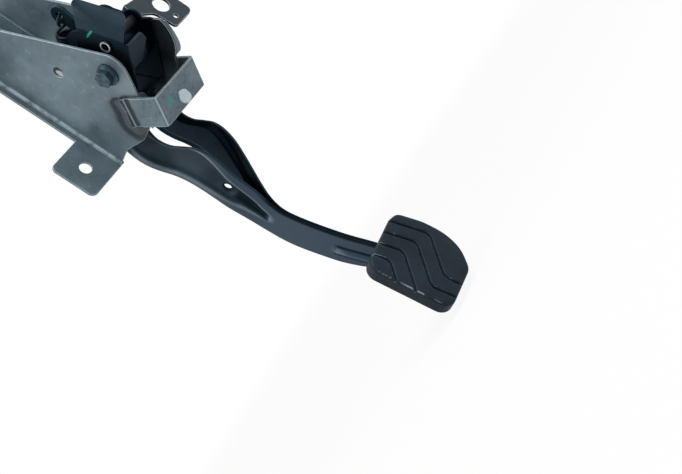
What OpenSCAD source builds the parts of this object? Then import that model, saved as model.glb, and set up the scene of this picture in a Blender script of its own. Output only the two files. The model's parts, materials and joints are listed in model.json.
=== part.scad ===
// Hanging clutch pedal with its steel bracket.
// X runs across the car, +Y points forward to the bulkhead and +Z points up.
// The origin is the middle of the four bulkhead bolts, on the face that meets the bulkhead.
// Every piece is drawn about the pivot axis and then moved to its place by at_pivot().

/* [Bracket] */
// Distance of the pivot axis behind the bulkhead face
pivot_back = 72; // [71:1:78]
// Distance of the pivot axis below the middle of the bulkhead bolts
pivot_drop = 36.2; // [30:0.2:42]
// Thickness of the bracket steel
plate_t = 2; // [1.6:0.1:2.4]
// Room between the fork and each side plate
side_room = 3.2; // [3:0.1:4.5]
// Height of the side plates above the pivot
plate_top = 104; // [98:1:120]
// Depth of the side plates below the pivot
plate_bottom = 30; // [28:1:31]
// Radius of the left plate round the pivot
lobe_r = 15; // [12:0.5:17]
// Radius of the right plate round the pivot
right_lobe_r = 25; // [20:0.5:27]
// Slope of the rear edges of the side plates above the pivot, in degrees from level
rear_slope = 61.7; // [58:0.1:66]
// Width of the lip along the right plate's round end
lip_w = 6; // [4:0.5:8]
// Width of the narrow outward flange
flange_w = 6.3; // [3:0.1:8]

/* [Bulkhead bolts] */
// Distance across the car between the bolts
bolt_x = 85; // [80:1:92]
// Distance between the lower and upper bolts
bolt_z = 100; // [90:1:105]
// Diameter of the bolt holes
bolt_hole_d = 9; // [7:0.5:11]
// Width of a fixing tab along the bulkhead
tab_w = 34.5; // [28:0.5:36]
// Reach of a fixing tab past its bolt
tab_past_bolt = 16.3; // [12:0.1:18]
// Diameter of the small clip hole in the left plate
clip_hole_d = 8; // [5:0.5:10]

/* [Guard strap] */
// Width across the outer faces of the strap
strap_across = 50; // [44:0.5:54]
// Width of the strap band
strap_w = 22; // [20:0.5:26]
// Length of each leg of the strap
strap_leg = 28.2; // [26:0.2:34]
// Outer radius of the strap's bends
strap_bend_r = 3; // [2.5:0.1:5]

/* [Pivot] */
// Diameter of the pivot bolt
bolt_d = 8; // [6:1:8]
// Outer diameter of the sleeve between the plates
sleeve_d = 12; // [11:0.2:13]
// Running clearance on the radius between a bush and the sleeve
bush_clear = 0.05; // [0.02:0.01:0.1]
// Outer diameter of the hub tube
hub_d = 20; // [18.4:0.2:21]
// Wall of the hub tube
hub_wall = 2.4; // [1.6:0.1:2.5]
// Diameter of the bush flanges
bush_flange_d = 21; // [18:0.5:24]
// Width across the flats of the bolt head and nut
hex_af = 13; // [12:0.5:14]
// Diameter of the bolt and nut flanges
flange_d = 19.6; // [17:0.2:20.5]

/* [Arm] */
// Thickness of the two arm pressings
shell_t = 2; // [1.6:0.1:2]
// Distance across the outer faces of the fork
fork_w = 34; // [32:0.5:38]
// Depth of the pressed dish in each fork leg
dish_depth = 3; // [1.5:0.1:3.5]
// Depth of the groove below the dish
groove_depth = 1.6; // [0.5:0.1:1.7]
// Height of the rib above the pad
rib_h = 1.8; // [1:0.1:2]
// Diameter of the small hole at the top of the groove
drain_hole_d = 4.6; // [3:0.1:6]
// Outer diameter of the spacer tube behind the pivot
spacer_d = 7; // [6:0.1:8]
// Diameter of the pin that drives the pushrod
pin_d = 8; // [6:0.5:10]

/* [Pad] */
// Width of the rubber pad
pad_w = 59; // [54:1:66]
// Length of the rubber pad
pad_h = 64; // [58:1:70]
// Thickness of the rubber in front of its plate
pad_t = 7.5; // [6.5:0.5:10]
// Thickness of the steel plate in the pad
pad_plate_t = 2.4; // [2:0.1:3]
// Lean of the pad from upright, in degrees
pad_lean = 10; // [8:0.5:11]
// Width of the grooves in the rubber
groove_w = 2.2; // [1.4:0.1:3]
// Depth of the grooves in the rubber
groove_deep = 2.2; // [1:0.1:3]
// Distance across the pad between the grooves
groove_pitch = 12.4; // [11:0.2:14]

/* [Return spring] */
// Diameter of the spring wire
wire_d = 2.2; // [1.6:0.1:2.4]
// Mean diameter of the coils
coil_d = 12.4; // [10:0.2:14]
// Number of coils
coil_turns = 18; // [10:1:19]

/* [Hidden] */
$fn = 64;

// Colours seen on the real pedal
zinc = [0.47, 0.51, 0.53];
black_coat = [0.07, 0.08, 0.09];
dark_bolt = [0.22, 0.24, 0.25];
bright_steel = [0.75, 0.76, 0.78];
black_rubber = [0.10, 0.11, 0.12];
nylon = [0.82, 0.80, 0.74];

// Gap that parts on different bodies keep where they don't run on each other
gap = 0.3;
// Planes of the bracket, measured across the car
inner_x = fork_w / 2 + side_room;
outer_x = inner_x + plate_t;
// Half of the strap inside its legs
strap_in = strap_across / 2 - plate_t;
front_y = pivot_back;
bolt_lo = pivot_drop - bolt_z / 2;
bolt_hi = bolt_lo + bolt_z;
// Directions of the strap's legs and of its width, at 45 degrees to the bulkhead
leg_angle = 225.6;
leg_dir = [cos(leg_angle), sin(leg_angle)];
width_dir = [-sin(leg_angle), cos(leg_angle)];
// Front upper corner of the strap's legs
strap_start = [10.2, -14.3];
// Place of the rubber stop on the strap: across the car, and along the strap's width
bumper_at = [2, 15];
// Distance from the strap to the tab that rests on the stop
stop_reach = 22.4;
// The arm's places that other pieces use
spacer_at = [-15.5, 9];
pin_at = [42, -17];
lever_hole = [2.5, 50];
anchor_hole = [front_y - 10, 14.5];
drain_at = [46, -99.2];
// Ends of the fold between the left head and its hood, and the hood's reach
hood_low = [-22.3, 5.1];
hood_high = [-11.6, 30.6];
hood_fold = (hood_high - hood_low) / norm(hood_high - hood_low);
hood_reach = 20;
// The middle of the pad's upper edge, on the face of the rubber
pad_top = [6, -206];
pad_shift = -0.5;

// Points along an arc
function arc(c, r, a0, a1, n = 10) =
    [for (i = [0:n]) c + r * [cos(a0 + (a1 - a0) * i / n), sin(a0 + (a1 - a0) * i / n)]];

// A corner rounded with radius r, between the points p and q
function corner(p, c, q, r, n = 6) =
    let (
        u = (p - c) / norm(p - c),
        v = (q - c) / norm(q - c),
        half = acos(u * v) / 2,
        m = c + (u + v) / norm(u + v) * r / sin(half),
        a0 = atan2((c + u * r / tan(half) - m)[1], (c + u * r / tan(half) - m)[0]),
        a1 = atan2((c + v * r / tan(half) - m)[1], (c + v * r / tan(half) - m)[0]),
        turn = a1 - a0 > 180 ? a1 - a0 - 360 : (a1 - a0 < -180 ? a1 - a0 + 360 : a1 - a0)
    ) arc(m, r, a0, a0 + turn, n);

// An outline whose corners are rounded: each entry is [y, z, radius]
function rounded(list) =
    [for (i = [0:len(list) - 1])
        let (
            n = len(list),
            c = [list[i][0], list[i][1]],
            p = [list[(i + n - 1) % n][0], list[(i + n - 1) % n][1]],
            q = [list[(i + 1) % n][0], list[(i + 1) % n][1]]
        )
        each (list[i][2] > 0 ? corner(p, c, q, list[i][2]) : [c])];

module at_pivot() {
    translate([0, -pivot_back, -pivot_drop]) children();
}

// A flat plate in the side plane, from x0 to x0 + t, drawn with [y, z] points
module side_sheet(x0, t) {
    translate([x0, 0, 0]) rotate([90, 0, 90]) linear_extrude(height = t) children();
}

// A rod across the car, from x0 to x1, about the point [y, z]
module rod(x0, x1, at, d) {
    translate([x0, at[0], at[1]]) rotate([0, 90, 0]) cylinder(h = x1 - x0, d = d);
}

// The tangent point of the plate's sloping rear edge on the lobe
function lobe_tangent(r) = r * [-sin(rear_slope), cos(rear_slope)];

// The rear edge at the height z
function rear_edge_y(r, z) =
    let (p = lobe_tangent(r)) p[0] + (z - p[1]) / tan(rear_slope);

module left_plate_outline() {
    low = plate_bottom + 8;
    tangent = lobe_tangent(lobe_r);
    polygon(concat(
        [[front_y, -plate_bottom], [front_y, plate_top]],
        rounded([
            [front_y, plate_top, 0],
            [rear_edge_y(lobe_r, plate_top), plate_top, 8],
            [tangent[0], tangent[1], 0]
        ]),
        arc([0, 0], lobe_r, 90 + rear_slope, 225, 14),
        [
            [low - lobe_r * sqrt(2), -low],
            [front_y - 37, -low],
            [front_y - 30, -low + 2.5],
            [front_y - 22, -plate_bottom - 2],
            [front_y - 16, -plate_bottom]
        ]
    ));
}

// The outward flange along the bulkhead with its two fixing tabs, drawn for the left plate
module bulkhead_flange(inner) {
    edge = inner + plate_t + flange_w;
    tip = bolt_x / 2 + tab_past_bolt;
    module tab(z) {
        difference() {
            translate([0, front_y, 0]) rotate([90, 0, 0]) linear_extrude(height = plate_t)
                polygon(rounded([
                    [-inner, z - tab_w / 2, 0],
                    [-inner, z + tab_w / 2, 0],
                    [-tip, z + tab_w / 2, 4],
                    [-tip, z - tab_w / 2, 5]
                ]));
            translate([-bolt_x / 2, front_y + 1, z]) rotate([90, 0, 0])
                cylinder(h = plate_t + 2, d = bolt_hole_d);
        }
    }
    union() {
        translate([-edge, front_y - plate_t, -plate_bottom])
            cube([edge - inner, plate_t, plate_top + plate_bottom]);
        tab(bolt_lo);
        tab(bolt_hi);
    }
}

module left_side_plate() {
    color(zinc) at_pivot() difference() {
        union() {
            side_sheet(-outer_x, plate_t) left_plate_outline();
            bulkhead_flange(inner_x);
        }
        rod(-outer_x - 1, -inner_x + 1, [0, 0], bolt_d + 0.4);
        rod(-outer_x - 1, -inner_x + 1, [front_y - 46, 31.5], clip_hole_d);
    }
}

// The right wall has a larger round end, and a lip turned out along it
module right_side_plate() {
    edge = 13.3;
    low = plate_bottom + 7;
    tangent = lobe_tangent(lobe_r);
    color(zinc) at_pivot() difference() {
        union() {
            side_sheet(inner_x, plate_t) polygon(concat(
                [[front_y, -plate_bottom], [front_y, plate_top]],
                rounded([
                    [front_y, plate_top, 0],
                    [rear_edge_y(lobe_r, plate_top), plate_top, 8],
                    [rear_edge_y(lobe_r, 28), 28, 0]
                ]),
                arc([0, 0], right_lobe_r, 194, 262, 18),
                [
                    [14, -low],
                    [front_y - 34, -low],
                    [front_y - 24, -plate_bottom]
                ]
            ));
            intersection() {
                side_sheet(outer_x, lip_w) polygon(concat(
                    arc([0, 0], right_lobe_r, 199, 261, 18),
                    arc([0, 0], right_lobe_r - plate_t, 261, 199, 18)
                ));
                lip_taper();
            }
            mirror([1, 0, 0]) bulkhead_flange(inner_x);
        }
        rod(inner_x - 1, outer_x + 1, [0, 0], bolt_d + 0.4);
    }
}

// The lip widens from its upper end to its lower one
module lip_taper() {
    start = right_lobe_r * [cos(199), sin(199)];
    end = right_lobe_r * [cos(261), sin(261)];
    along = (end - start) / norm(end - start);
    multmatrix([
        [0, 1, 0, 0],
        [along[0], 0, along[1], start[0]],
        [along[1], 0, -along[0], start[1]],
        [0, 0, 0, 1]
    ]) linear_extrude(height = 20, center = true) polygon(rounded([
        [-3, outer_x - 1, 0],
        [-3, outer_x + 0.1 * lip_w, 0],
        [norm(end - start) / 2, outer_x + 0.45 * lip_w, 8],
        [norm(end - start), outer_x + lip_w, 2],
        [norm(end - start) + 1, outer_x - 1, 0]
    ]));
}

// The cross wall behind the bulkhead face, with a tab that holds the return spring
module front_plate() {
    left = -inner_x;
    right = inner_x;
    low = 8;
    color(zinc) at_pivot() difference() {
        union() {
            translate([left, front_y - plate_t, low]) cube([right - left, plate_t, plate_top - low]);
            translate([left, front_y - 14, low]) cube([plate_t, 14, plate_top - low]);
            translate([right - plate_t, front_y - 14, low]) cube([plate_t, 14, plate_top - low]);
            side_sheet(-1.5, 3) polygon(rounded([
                [front_y - 1, low, 0],
                [front_y - 1, low + 13, 0],
                [front_y - 15, low + 13, 5],
                [front_y - 15, low, 5]
            ]));
        }
        rod(-3, 3, anchor_hole, 5);
        translate([(left + right) / 2, front_y + 1, 62]) rotate([90, 0, 0])
            cylinder(h = plate_t + 2, d = 24);
    }
}

// The frame of the strap: legs along local +Y, the band's width along local +Z
module on_strap() {
    multmatrix([
        [1, 0, 0, 0],
        [0, leg_dir[0], width_dir[0], strap_start[0]],
        [0, leg_dir[1], width_dir[1], strap_start[1]],
        [0, 0, 0, 1]
    ]) children();
}

// A flat band bent into a U round the back of the fork, welded outside both walls
module guard_strap() {
    out = strap_across / 2;
    joggle = strap_in - outer_x;
    // Length of the ends that lie on the plates: a narrow strap bends in past the plates' edges
    lap = joggle < 0 ? 20.5 : 6;
    color(zinc) at_pivot() on_strap() difference() {
        union() {
        linear_extrude(height = strap_w) polygon(concat(
            [[-outer_x - plate_t, 0], [-outer_x - plate_t, lap - 1], [-out, lap + 1.5]],
            corner([-out, 0], [-out, strap_leg], [out, strap_leg], strap_bend_r),
            corner([-out, strap_leg], [out, strap_leg], [out, 0], strap_bend_r),
            [[out, lap + 1.5], [outer_x + plate_t, lap - 1], [outer_x + plate_t, 0], [outer_x, 0]],
            [[outer_x, lap - 1 + joggle / 2], [strap_in, lap + 1.5 + joggle / 2]],
            corner([strap_in, 0], [strap_in, strap_leg - plate_t], [-strap_in, strap_leg - plate_t],
                strap_bend_r - plate_t),
            corner([strap_in, strap_leg - plate_t], [-strap_in, strap_leg - plate_t],
                [-strap_in, 0], strap_bend_r - plate_t),
            [[-strap_in, lap + 1.5 + joggle / 2], [-outer_x, lap - 1 + joggle / 2], [-outer_x, 0]]
        ));
        // Weld beads along both ends
        for (side = [-1, 1]) translate([side * (outer_x + 0.7), -0.9, 0])
            intersection() {
                cylinder(h = strap_w, r = 2.4);
                translate([side > 0 ? -0.7 : -5.3, -3, 0]) cube([6, 6, strap_w]);
            }
        }
        translate([bumper_at[0], strap_leg + 1, bumper_at[1]]) rotate([90, 0, 0])
            cylinder(h = plate_t + 2, d = 6);
    }
}

// A bracket for the clutch switch, welded outside the right plate behind the pivot nut
module switch_bracket() {
    back = -14;
    reach = 56;
    color(zinc) at_pivot() difference() {
        union() {
            translate([outer_x, back, 12]) cube([plate_t, 18, 8]);
            translate([0, back + plate_t, 0]) rotate([90, 0, 0]) linear_extrude(height = plate_t)
                polygon(rounded([
                    [outer_x, 10, 0],
                    [outer_x, 20, 0],
                    [reach - 8, 16, 6],
                    [reach, 4, 6],
                    [reach, -14.5, 4],
                    [34, -14.5, 3],
                    [33, 2, 6]
                ]));
        }
        translate([43, back + plate_t + 1, 3]) rotate([90, 0, 0]) cylinder(h = plate_t + 2, d = 12);
        translate([42, back + plate_t + 1, -9.3]) rotate([90, 0, 0]) cylinder(h = plate_t + 2, d = 3.4);
    }
}

module hexagon_flange(x0, side) {
    // A hexagon on a round flange, pointing to side from the plane x0
    translate([x0, 0, 0]) rotate([0, side * 90, 0]) {
        cylinder(h = 1.2, d = flange_d);
        translate([0, 0, 1.2]) cylinder(h = 1, d1 = flange_d - 1, d2 = hex_af + 1);
        translate([0, 0, 1]) rotate([0, 0, 30]) cylinder(h = 5.8, d = hex_af / cos(30), $fn = 6);
    }
}

module pivot_bolt() {
    color(dark_bolt) at_pivot() union() {
        hexagon_flange(-outer_x, -1);
        rod(-outer_x, outer_x + 11, [0, 0], bolt_d);
        rod(outer_x + 11, outer_x + 12, [0, 0], bolt_d - 1.6);
    }
}

module pivot_washer() {
    color(dark_bolt) at_pivot() difference() {
        rod(outer_x, outer_x + 1.6, [0, 0], flange_d + 1);
        rod(outer_x - 1, outer_x + 3, [0, 0], bolt_d + 0.4);
    }
}

module pivot_nut() {
    color(dark_bolt) at_pivot() difference() {
        hexagon_flange(outer_x + 1.6, 1);
        rod(outer_x, outer_x + 12, [0, 0], bolt_d + 0.1);
    }
}

module pivot_sleeve() {
    color(bright_steel) at_pivot() difference() {
        rod(-inner_x, inner_x, [0, 0], sleeve_d);
        rod(-inner_x - 1, inner_x + 1, [0, 0], bolt_d + 0.2);
    }
}

// A rubber stop pushed through the strap, with its button outside
module stop_bumper() {
    inside = stop_reach - gap;
    color(black_rubber) at_pivot() on_strap()
        translate([bumper_at[0], strap_leg, bumper_at[1]]) rotate([90, 0, 0]) union() {
            translate([0, 0, -1.4]) cylinder(h = 1.4, d = 9.4);
            translate([0, 0, -1.4]) cylinder(h = plate_t + 1.6, d = 6);
            translate([0, 0, plate_t]) cylinder(h = 5, d = 12.5);
            translate([0, 0, plate_t + 5]) cylinder(h = inside - 7, d = 10);
            translate([0, 0, plate_t + inside - 2]) cylinder(h = 2, d1 = 10, d2 = 8);
        }
}

module left_bush() {
    bush(-1);
}

module right_bush() {
    bush(1);
}

// A flanged nylon bush in the end of the hub tube
module bush(side) {
    depth = 12;
    color(nylon) at_pivot() mirror([side < 0 ? 1 : 0, 0, 0]) difference() {
        union() {
            rod(fork_w / 2 - depth, fork_w / 2 + 0.1, [0, 0], hub_d - 2 * hub_wall);
            rod(fork_w / 2, inner_x - gap, [0, 0], bush_flange_d);
        }
        rod(fork_w / 2 - depth - 1, inner_x, [0, 0], sleeve_d + 2 * bush_clear);
    }
}

module hub_tube() {
    color(black_coat) at_pivot() difference() {
        rod(-fork_w / 2, fork_w / 2, [0, 0], hub_d);
        rod(-fork_w, fork_w, [0, 0], hub_d - 2 * hub_wall);
    }
}

// A tube that ties the two pressings behind the pivot, with its ends flared
module spacer_tube() {
    half = fork_w / 2;
    color(bright_steel) at_pivot() difference() {
        union() {
            rod(-half - 1.2, half + 1.2, spacer_at, spacer_d);
            for (side = [-1, 1]) rod(side > 0 ? half : -half - 1.2, side > 0 ? half + 1.2 : -half,
                spacer_at, spacer_d + 1.6);
        }
        rod(-half - 3, half + 3, spacer_at, spacer_d - 2.6);
    }
}

// The lever that stands on the hub tube and pulls the return spring
module spring_lever() {
    t = 3;
    color(black_coat) at_pivot() difference() {
        side_sheet(-t / 2, t) polygon(concat(
            arc([0, 0], hub_d / 2, 60, 120, 8),
            [[-6, 18], [-1, 34]],
            arc(lever_hole, 6.5, 195, -50, 14),
            [[8.5, 34], [9.5, 20]]
        ));
        rod(-t, t, lever_hole, 5);
    }
}

// Stations of the arm pressing, from the pivot head down to the pad. Each one holds the rear
// edge [y, z], the front edge [y, z], the half width of the fork, the share of the dish depth,
// the rear and front borders of the dish, and the inward curl of the front edge.
full = fork_w / 2;
low = shell_t;
stations = [
    [15, -25.5, 33, 6, full, 0, 9, 9, 0],
    [23, -29, 49, -8, full, 0, 9, 9, 0],
    [31, -36.5, 61, -24, full, 0.6, 6, 7, 0.4],
    [34.5, -45, 64.5, -37, full, 1, 3.5, 6, 0.6],
    [33, -54, 63.5, -48, full, 1, 2.5, 6, 0.7],
    [27.5, -61.5, 60.5, -57, full - 0.3, 1, 2.5, 6, 0.7],
    [22.6, -68.5, 57.8, -66, full - 1.4, 1, 3.5, 6, 0.7],
    [20.8, -77, 57, -76, full - 2.8, 1, 6, 6, 0.7],
    [22.8, -87, 57.9, -87, full - 4.2, 1, 9.5, 6, 0.7],
    [27.4, -97, 60.2, -98, low + 9.1, 0.9, 12, 6.5, 0.7],
    [31.9, -107.5, 64, -108.5, low + 6.2, 0.75, 13, 7.5, 0.5],
    [36.5, -118.5, 67.3, -119.5, low + 3, 0.5, 12.5, 9.5, 0.3],
    [41, -129.5, 68.9, -131, low + 1, 0.1, 11.5, 10, 0.1],
    [42.8, -140, 69, -142, low + 0.2, 0, 11, 10, 0],
    [41.1, -150, 67.8, -154, low, 0, 11, 10, 0],
    [37.6, -161, 64.7, -166, low, 0, 11, 10, 0],
    [32.7, -174, 59.3, -180, low, 0, 11, 10, 0],
    [26.6, -188, 52.6, -195, low, 0, 11, 10, 0],
    [19.2, -202, 44.2, -208, low, 0, 11, 10, 0]
];
// Steps between two stations
sub = 3;
// Columns across the pressing
columns = 16;

function spline(a, b, c, d, t) =
    0.5 * (2 * b + (c - a) * t + (2 * a - 5 * b + 4 * c - d) * t * t
        + (3 * b - a - 3 * c + d) * t * t * t);

function station(i) = stations[min(max(i, 0), len(stations) - 1)];

// The lower end of the arm follows the back of the pad's plate and narrows
pad_u = [-sin(pad_lean), -cos(pad_lean)];
pad_n = [cos(pad_lean), -sin(pad_lean)];
function pad_back(s) = pad_top + pad_u * s + pad_n * (pad_t + pad_plate_t);

arm_rows = concat(
    [for (i = [0:len(stations) - 2]) for (k = [0:sub - 1])
        let (row = spline(station(i - 1), station(i), station(i + 1), station(i + 2), k / sub))
        [row[0], row[1], row[2], row[3], max(row[4], shell_t), max(row[5], 0), row[6], row[7],
            max(row[8], 0)]],
    [for (e = [[3, 39, -214], [14, 33, -223], [25, 26, -232], [34, 17, -241.5]])
        [pad_back(e[0])[0], pad_back(e[0])[1], e[1], e[2], low, 0, 11, 10, 0]]
);

function ease(t) = let (u = min(max(t, 0), 1)) u * u * (3 - 2 * u);

// How far the outer face lies inside the flat of the leg, at the share v from rear to front.
// A rib stands out of it above the pad.
function recess(row, v) =
    let (
        wide = norm([row[2] - row[0], row[3] - row[1]]),
        from_rear = v * wide,
        from_front = (1 - v) * wide,
        dish = dish_depth * row[5] * ease((from_rear - row[6] + 3) / 5) * ease((from_front - row[7] + 1) / 4),
        curl = row[8] * pow(max(1 - from_front / (row[7] - 1), 0), 2),
        groove_on = ease((-row[1] - 104) / 6) * ease((136 + row[1]) / 4),
        groove = groove_depth * groove_on * ease((from_rear - 12.2) / 2.4) * ease((from_front - 9.3) / 2.4),
        rib_on = ease((-row[1] - 181) / 3) * ease((228 + row[1]) / 8),
        rib = rib_h * rib_on * ease(1 - abs(from_rear - 15.4) / 4.6)
    ) dish + curl + groove - rib;

// Points of one face of the pressing, with x measured out from the middle of the car.
// The two legs differ a little, so the front edge of the open fork moves by front_move.
function face_points(inner, front_move) =
    [for (row = arm_rows) for (j = [0:columns])
        let (
            v = j / columns,
            out = row[4] - recess(row, v),
            x = inner ? max(out - shell_t, 0) : out,
            front = row[2] + front_move * ease((row[4] - shell_t) / 8) * ease((-row[1] - 26) / 12)
        )
        [x, row[0] + (front - row[0]) * v, row[1] + (row[3] - row[1]) * v]];

module arm_pressing(front_move) {
    rows = len(arm_rows);
    wide = columns + 1;
    count = rows * wide;
    polyhedron(
        points = concat(face_points(false, front_move), face_points(true, front_move)),
        faces = concat(
            [for (i = [0:rows - 2]) for (j = [0:columns - 1])
                each [
                    [i * wide + j, i * wide + j + 1, (i + 1) * wide + j],
                    [i * wide + j + 1, (i + 1) * wide + j + 1, (i + 1) * wide + j]
                ]],
            [for (i = [0:rows - 2]) for (j = [0:columns - 1])
                each [
                    [count + i * wide + j, count + (i + 1) * wide + j, count + i * wide + j + 1],
                    [count + i * wide + j + 1, count + (i + 1) * wide + j, count + (i + 1) * wide + j + 1]
                ]],
            [for (i = [0:rows - 2]) each [
                [i * wide, (i + 1) * wide, count + i * wide],
                [(i + 1) * wide, count + (i + 1) * wide, count + i * wide]
            ]],
            [for (i = [0:rows - 2]) let (j = columns) each [
                [i * wide + j, count + i * wide + j, (i + 1) * wide + j],
                [(i + 1) * wide + j, count + i * wide + j, count + (i + 1) * wide + j]
            ]],
            [for (j = [0:columns - 1]) each [
                [j, count + j, j + 1],
                [j + 1, count + j, count + j + 1]
            ]],
            [for (j = [0:columns - 1]) let (k = (rows - 1) * wide + j) each [
                [k, k + 1, count + k],
                [k + 1, count + k + 1, count + k]
            ]]
        )
    );
}

// The flat head of a pressing, round the pivot, drawn for the right side. Its outline starts
// at the loft's first row and closes along the points of its rear edge.
module shell_head(rear_edge) {
    first = stations[0];
    side_sheet(full - shell_t, shell_t) polygon(concat(
        [[first[0], first[1]], [first[2], first[3]]],
        [[24, 14], [14, 19]],
        arc([-2, 24], 11, -5, 130, 10),
        rear_edge
    ));
}

module arm_shell(front_move, rear_edge) {
    difference() {
        union() {
            shell_head(rear_edge);
            arm_pressing(front_move);
        }
        rod(full - shell_t - 1, full + 1, [0, 0], hub_d);
        rod(full - shell_t - 1, full + 1, pin_at, pin_d + 0.24);
        rod(0, full, drain_at, drain_hole_d);
    }
}

// The left pressing also has a web turned in behind the hub tube, and a hood above it
module arm_left_shell() {
    rear_edge = [hood_high, hood_low - 8.7 * hood_fold, [-9.16, -13.04]];
    color(black_coat) at_pivot() difference() {
        union() {
            mirror([1, 0, 0]) arm_shell(0.9, rear_edge);
            rear_web(-full, 20);
            rear_hood();
        }
        rod(-full - 1, 0, spacer_at, spacer_d);
    }
}

// A sloping hood turned in and back from the left head's rear edge, above the web
module rear_hood() {
    fold = hood_fold;
    back = [-fold[1], fold[0]];
    slope = 0.8;
    rise = 0.6;
    multmatrix([
        [0, slope, rise, -full],
        [fold[0], back[0] * rise, -back[0] * slope, hood_low[0]],
        [fold[1], back[1] * rise, -back[1] * slope, hood_low[1]],
        [0, 0, 0, 1]
    ]) translate([0, 0, 0.2]) linear_extrude(height = shell_t) polygon(rounded([
        [-7, 0.1, 0],
        [norm(hood_high - hood_low) - 0.8, 0.1, 0],
        [norm(hood_high - hood_low) + 13, hood_reach, 3],
        [1, hood_reach, 3]
    ]));
}

// A web turned in along the rear edge of the head, from the plane x0
module rear_web(x0, reach) {
    along = [0.8527, -0.5224];
    out = [-0.5224, -0.8527];
    // Distance of the rear edge from the pivot axis
    rear = 16.2;
    multmatrix([
        [1, 0, 0, 0],
        [0, along[0], out[0], 0],
        [0, along[1], out[1], 0],
        [0, 0, 0, 1]
    ]) translate([x0, -19.6, rear - shell_t]) linear_extrude(height = shell_t)
        polygon([[0, 0], [reach - 2, 0], [reach + 1.5, 6], [reach - 8, 16.6], [0, 16.6]]);
}

// The right pressing has a tab turned in that rests on the rubber stop
module arm_right_shell() {
    rear_edge = concat(
        arc([-2, 24], 11, 144, 180, 3),
        [[-15.5, 17.5]],
        arc(spacer_at, 7.4, 100, 190, 8),
        [[-21, 4]],
        arc([-23.5, -1.6], 2, 130, 238, 6)
    );
    color(black_coat) at_pivot() union() {
        difference() {
            arm_shell(-1.3, rear_edge);
            rod(full - shell_t - 1, full + 1, spacer_at, spacer_d);
        }
        on_strap() translate([-4, strap_leg - plate_t - stop_reach - shell_t, bumper_at[1] - 6])
            cube([full + 3.5, shell_t, 9]);
    }
}

module pushrod_pin() {
    half = fork_w / 2;
    color(bright_steel) at_pivot() difference() {
        union() {
            rod(-half - 1.8, half + 2.6, pin_at, pin_d);
            rod(-half - 1.8, -half, pin_at, pin_d + 3);
        }
        groove_ring(half + 0.6);
    }
}

// The groove round the pin's right end that takes the clip
module groove_ring(x0) {
    difference() {
        rod(x0, x0 + 1.1, pin_at, pin_d + 2);
        rod(x0 - 1, x0 + 2, pin_at, pin_d - 2);
    }
}

// A spring clip in the pin's groove
module pin_clip() {
    x0 = fork_w / 2 + 0.65;
    color(bright_steel) at_pivot() difference() {
        rod(x0, x0 + 1, pin_at, pin_d + 4);
        rod(x0 - 1, x0 + 2, pin_at, pin_d - 2);
        translate([x0 - 1, pin_at[0] - 2.2, pin_at[1] - pin_d]) cube([3, 4.4, pin_d]);
    }
}

// The frame of the pad: x across, y down the pad, z out of its face
module on_pad() {
    multmatrix([
        [1, 0, 0, pad_shift],
        [0, pad_u[0], -pad_n[0], pad_top[0]],
        [0, pad_u[1], -pad_n[1], pad_top[1]],
        [0, 0, 0, 1]
    ]) children();
}

// The outline of the pad, straight on its left side and bowed on its right, moved in by inset
function pad_points(inset) =
    let (
        r = pad_w / 2,
        top = -2,
        bottom = pad_h - 2,
        middle = [0, pad_h / 2 - 2],
        shrink = [1 - inset / r, 1 - 2 * inset / pad_h],
        outline = rounded([
            [-r, top + 1.6, 9],
            [r - 13, top, 0],
            [r - 4.5, top + 2.5, 6],
            [r, top + 0.33 * pad_h, 0.6 * pad_h],
            [r, top + 0.6 * pad_h, 0.6 * pad_h],
            [r - 6, top + 0.83 * pad_h, 0.45 * pad_h],
            [r - 19, bottom, 11],
            [1 - r, bottom, 9]
        ])
    )
    [for (p = outline) [
        middle[0] + (p[0] - middle[0]) * shrink[0],
        middle[1] + (p[1] - middle[1]) * shrink[1]
    ]];

module pad_plate() {
    color(black_coat) at_pivot() on_pad()
        translate([0, 0, -pad_t - pad_plate_t]) linear_extrude(height = pad_plate_t)
            polygon(pad_points(2.6));
}

// One groove: down from the top, across to the left, and down to the bottom
module pad_groove(i) {
    x0 = pad_w / 2 - 8 - i * groove_pitch;
    bend = 21 - 5.3 * i + 6;
    across = 28.5;
    fall = 21.5;
    top = -8;
    a = [x0 - 0.22 * (bend - top), top];
    b = [x0, bend];
    c = [x0 - across, bend + fall];
    d = [x0 - across + 0.1 * (pad_h - bend - fall), pad_h + 4];
    half = groove_w / 2;
    polygon([
        a + [-half, 0], b + [-half, -half * 0.6], c + [-half, -half * 0.6], d + [-half, 0],
        d + [half, 0], c + [half, half * 0.6], b + [half, half * 0.6], a + [half, 0]
    ]);
}

// The rubber: a shallow box that grips the plate, with bevelled edges and wavy grooves
module pad_rubber() {
    bevel = 1.8;
    rim = 1.2;
    color(black_rubber) at_pivot() on_pad() difference() {
        union() {
            translate([0, 0, -pad_t - pad_plate_t - rim])
                linear_extrude(height = pad_t + pad_plate_t + rim - bevel) polygon(pad_points(0));
            translate([0, 0, -bevel]) linear_extrude(height = bevel / 2) polygon(pad_points(0.5));
            translate([0, 0, -bevel / 2]) linear_extrude(height = bevel / 2) polygon(pad_points(1.5));
        }
        translate([0, 0, -pad_t - pad_plate_t]) linear_extrude(height = pad_plate_t)
            polygon(pad_points(2.6));
        translate([0, 0, -pad_t - pad_plate_t - rim - 1]) linear_extrude(height = rim + 1.1)
            polygon(pad_points(6));
        // A notch in the rim lets the arm reach the plate
        translate([-pad_shift - shell_t - 0.5, -3, -pad_t - pad_plate_t - rim - 1])
            cube([2 * shell_t + 1, 10, rim + 1]);
        for (i = [0:4]) translate([0, 0, -groove_deep])
            linear_extrude(height = groove_deep + 1) pad_groove(i);
    }
}

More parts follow.
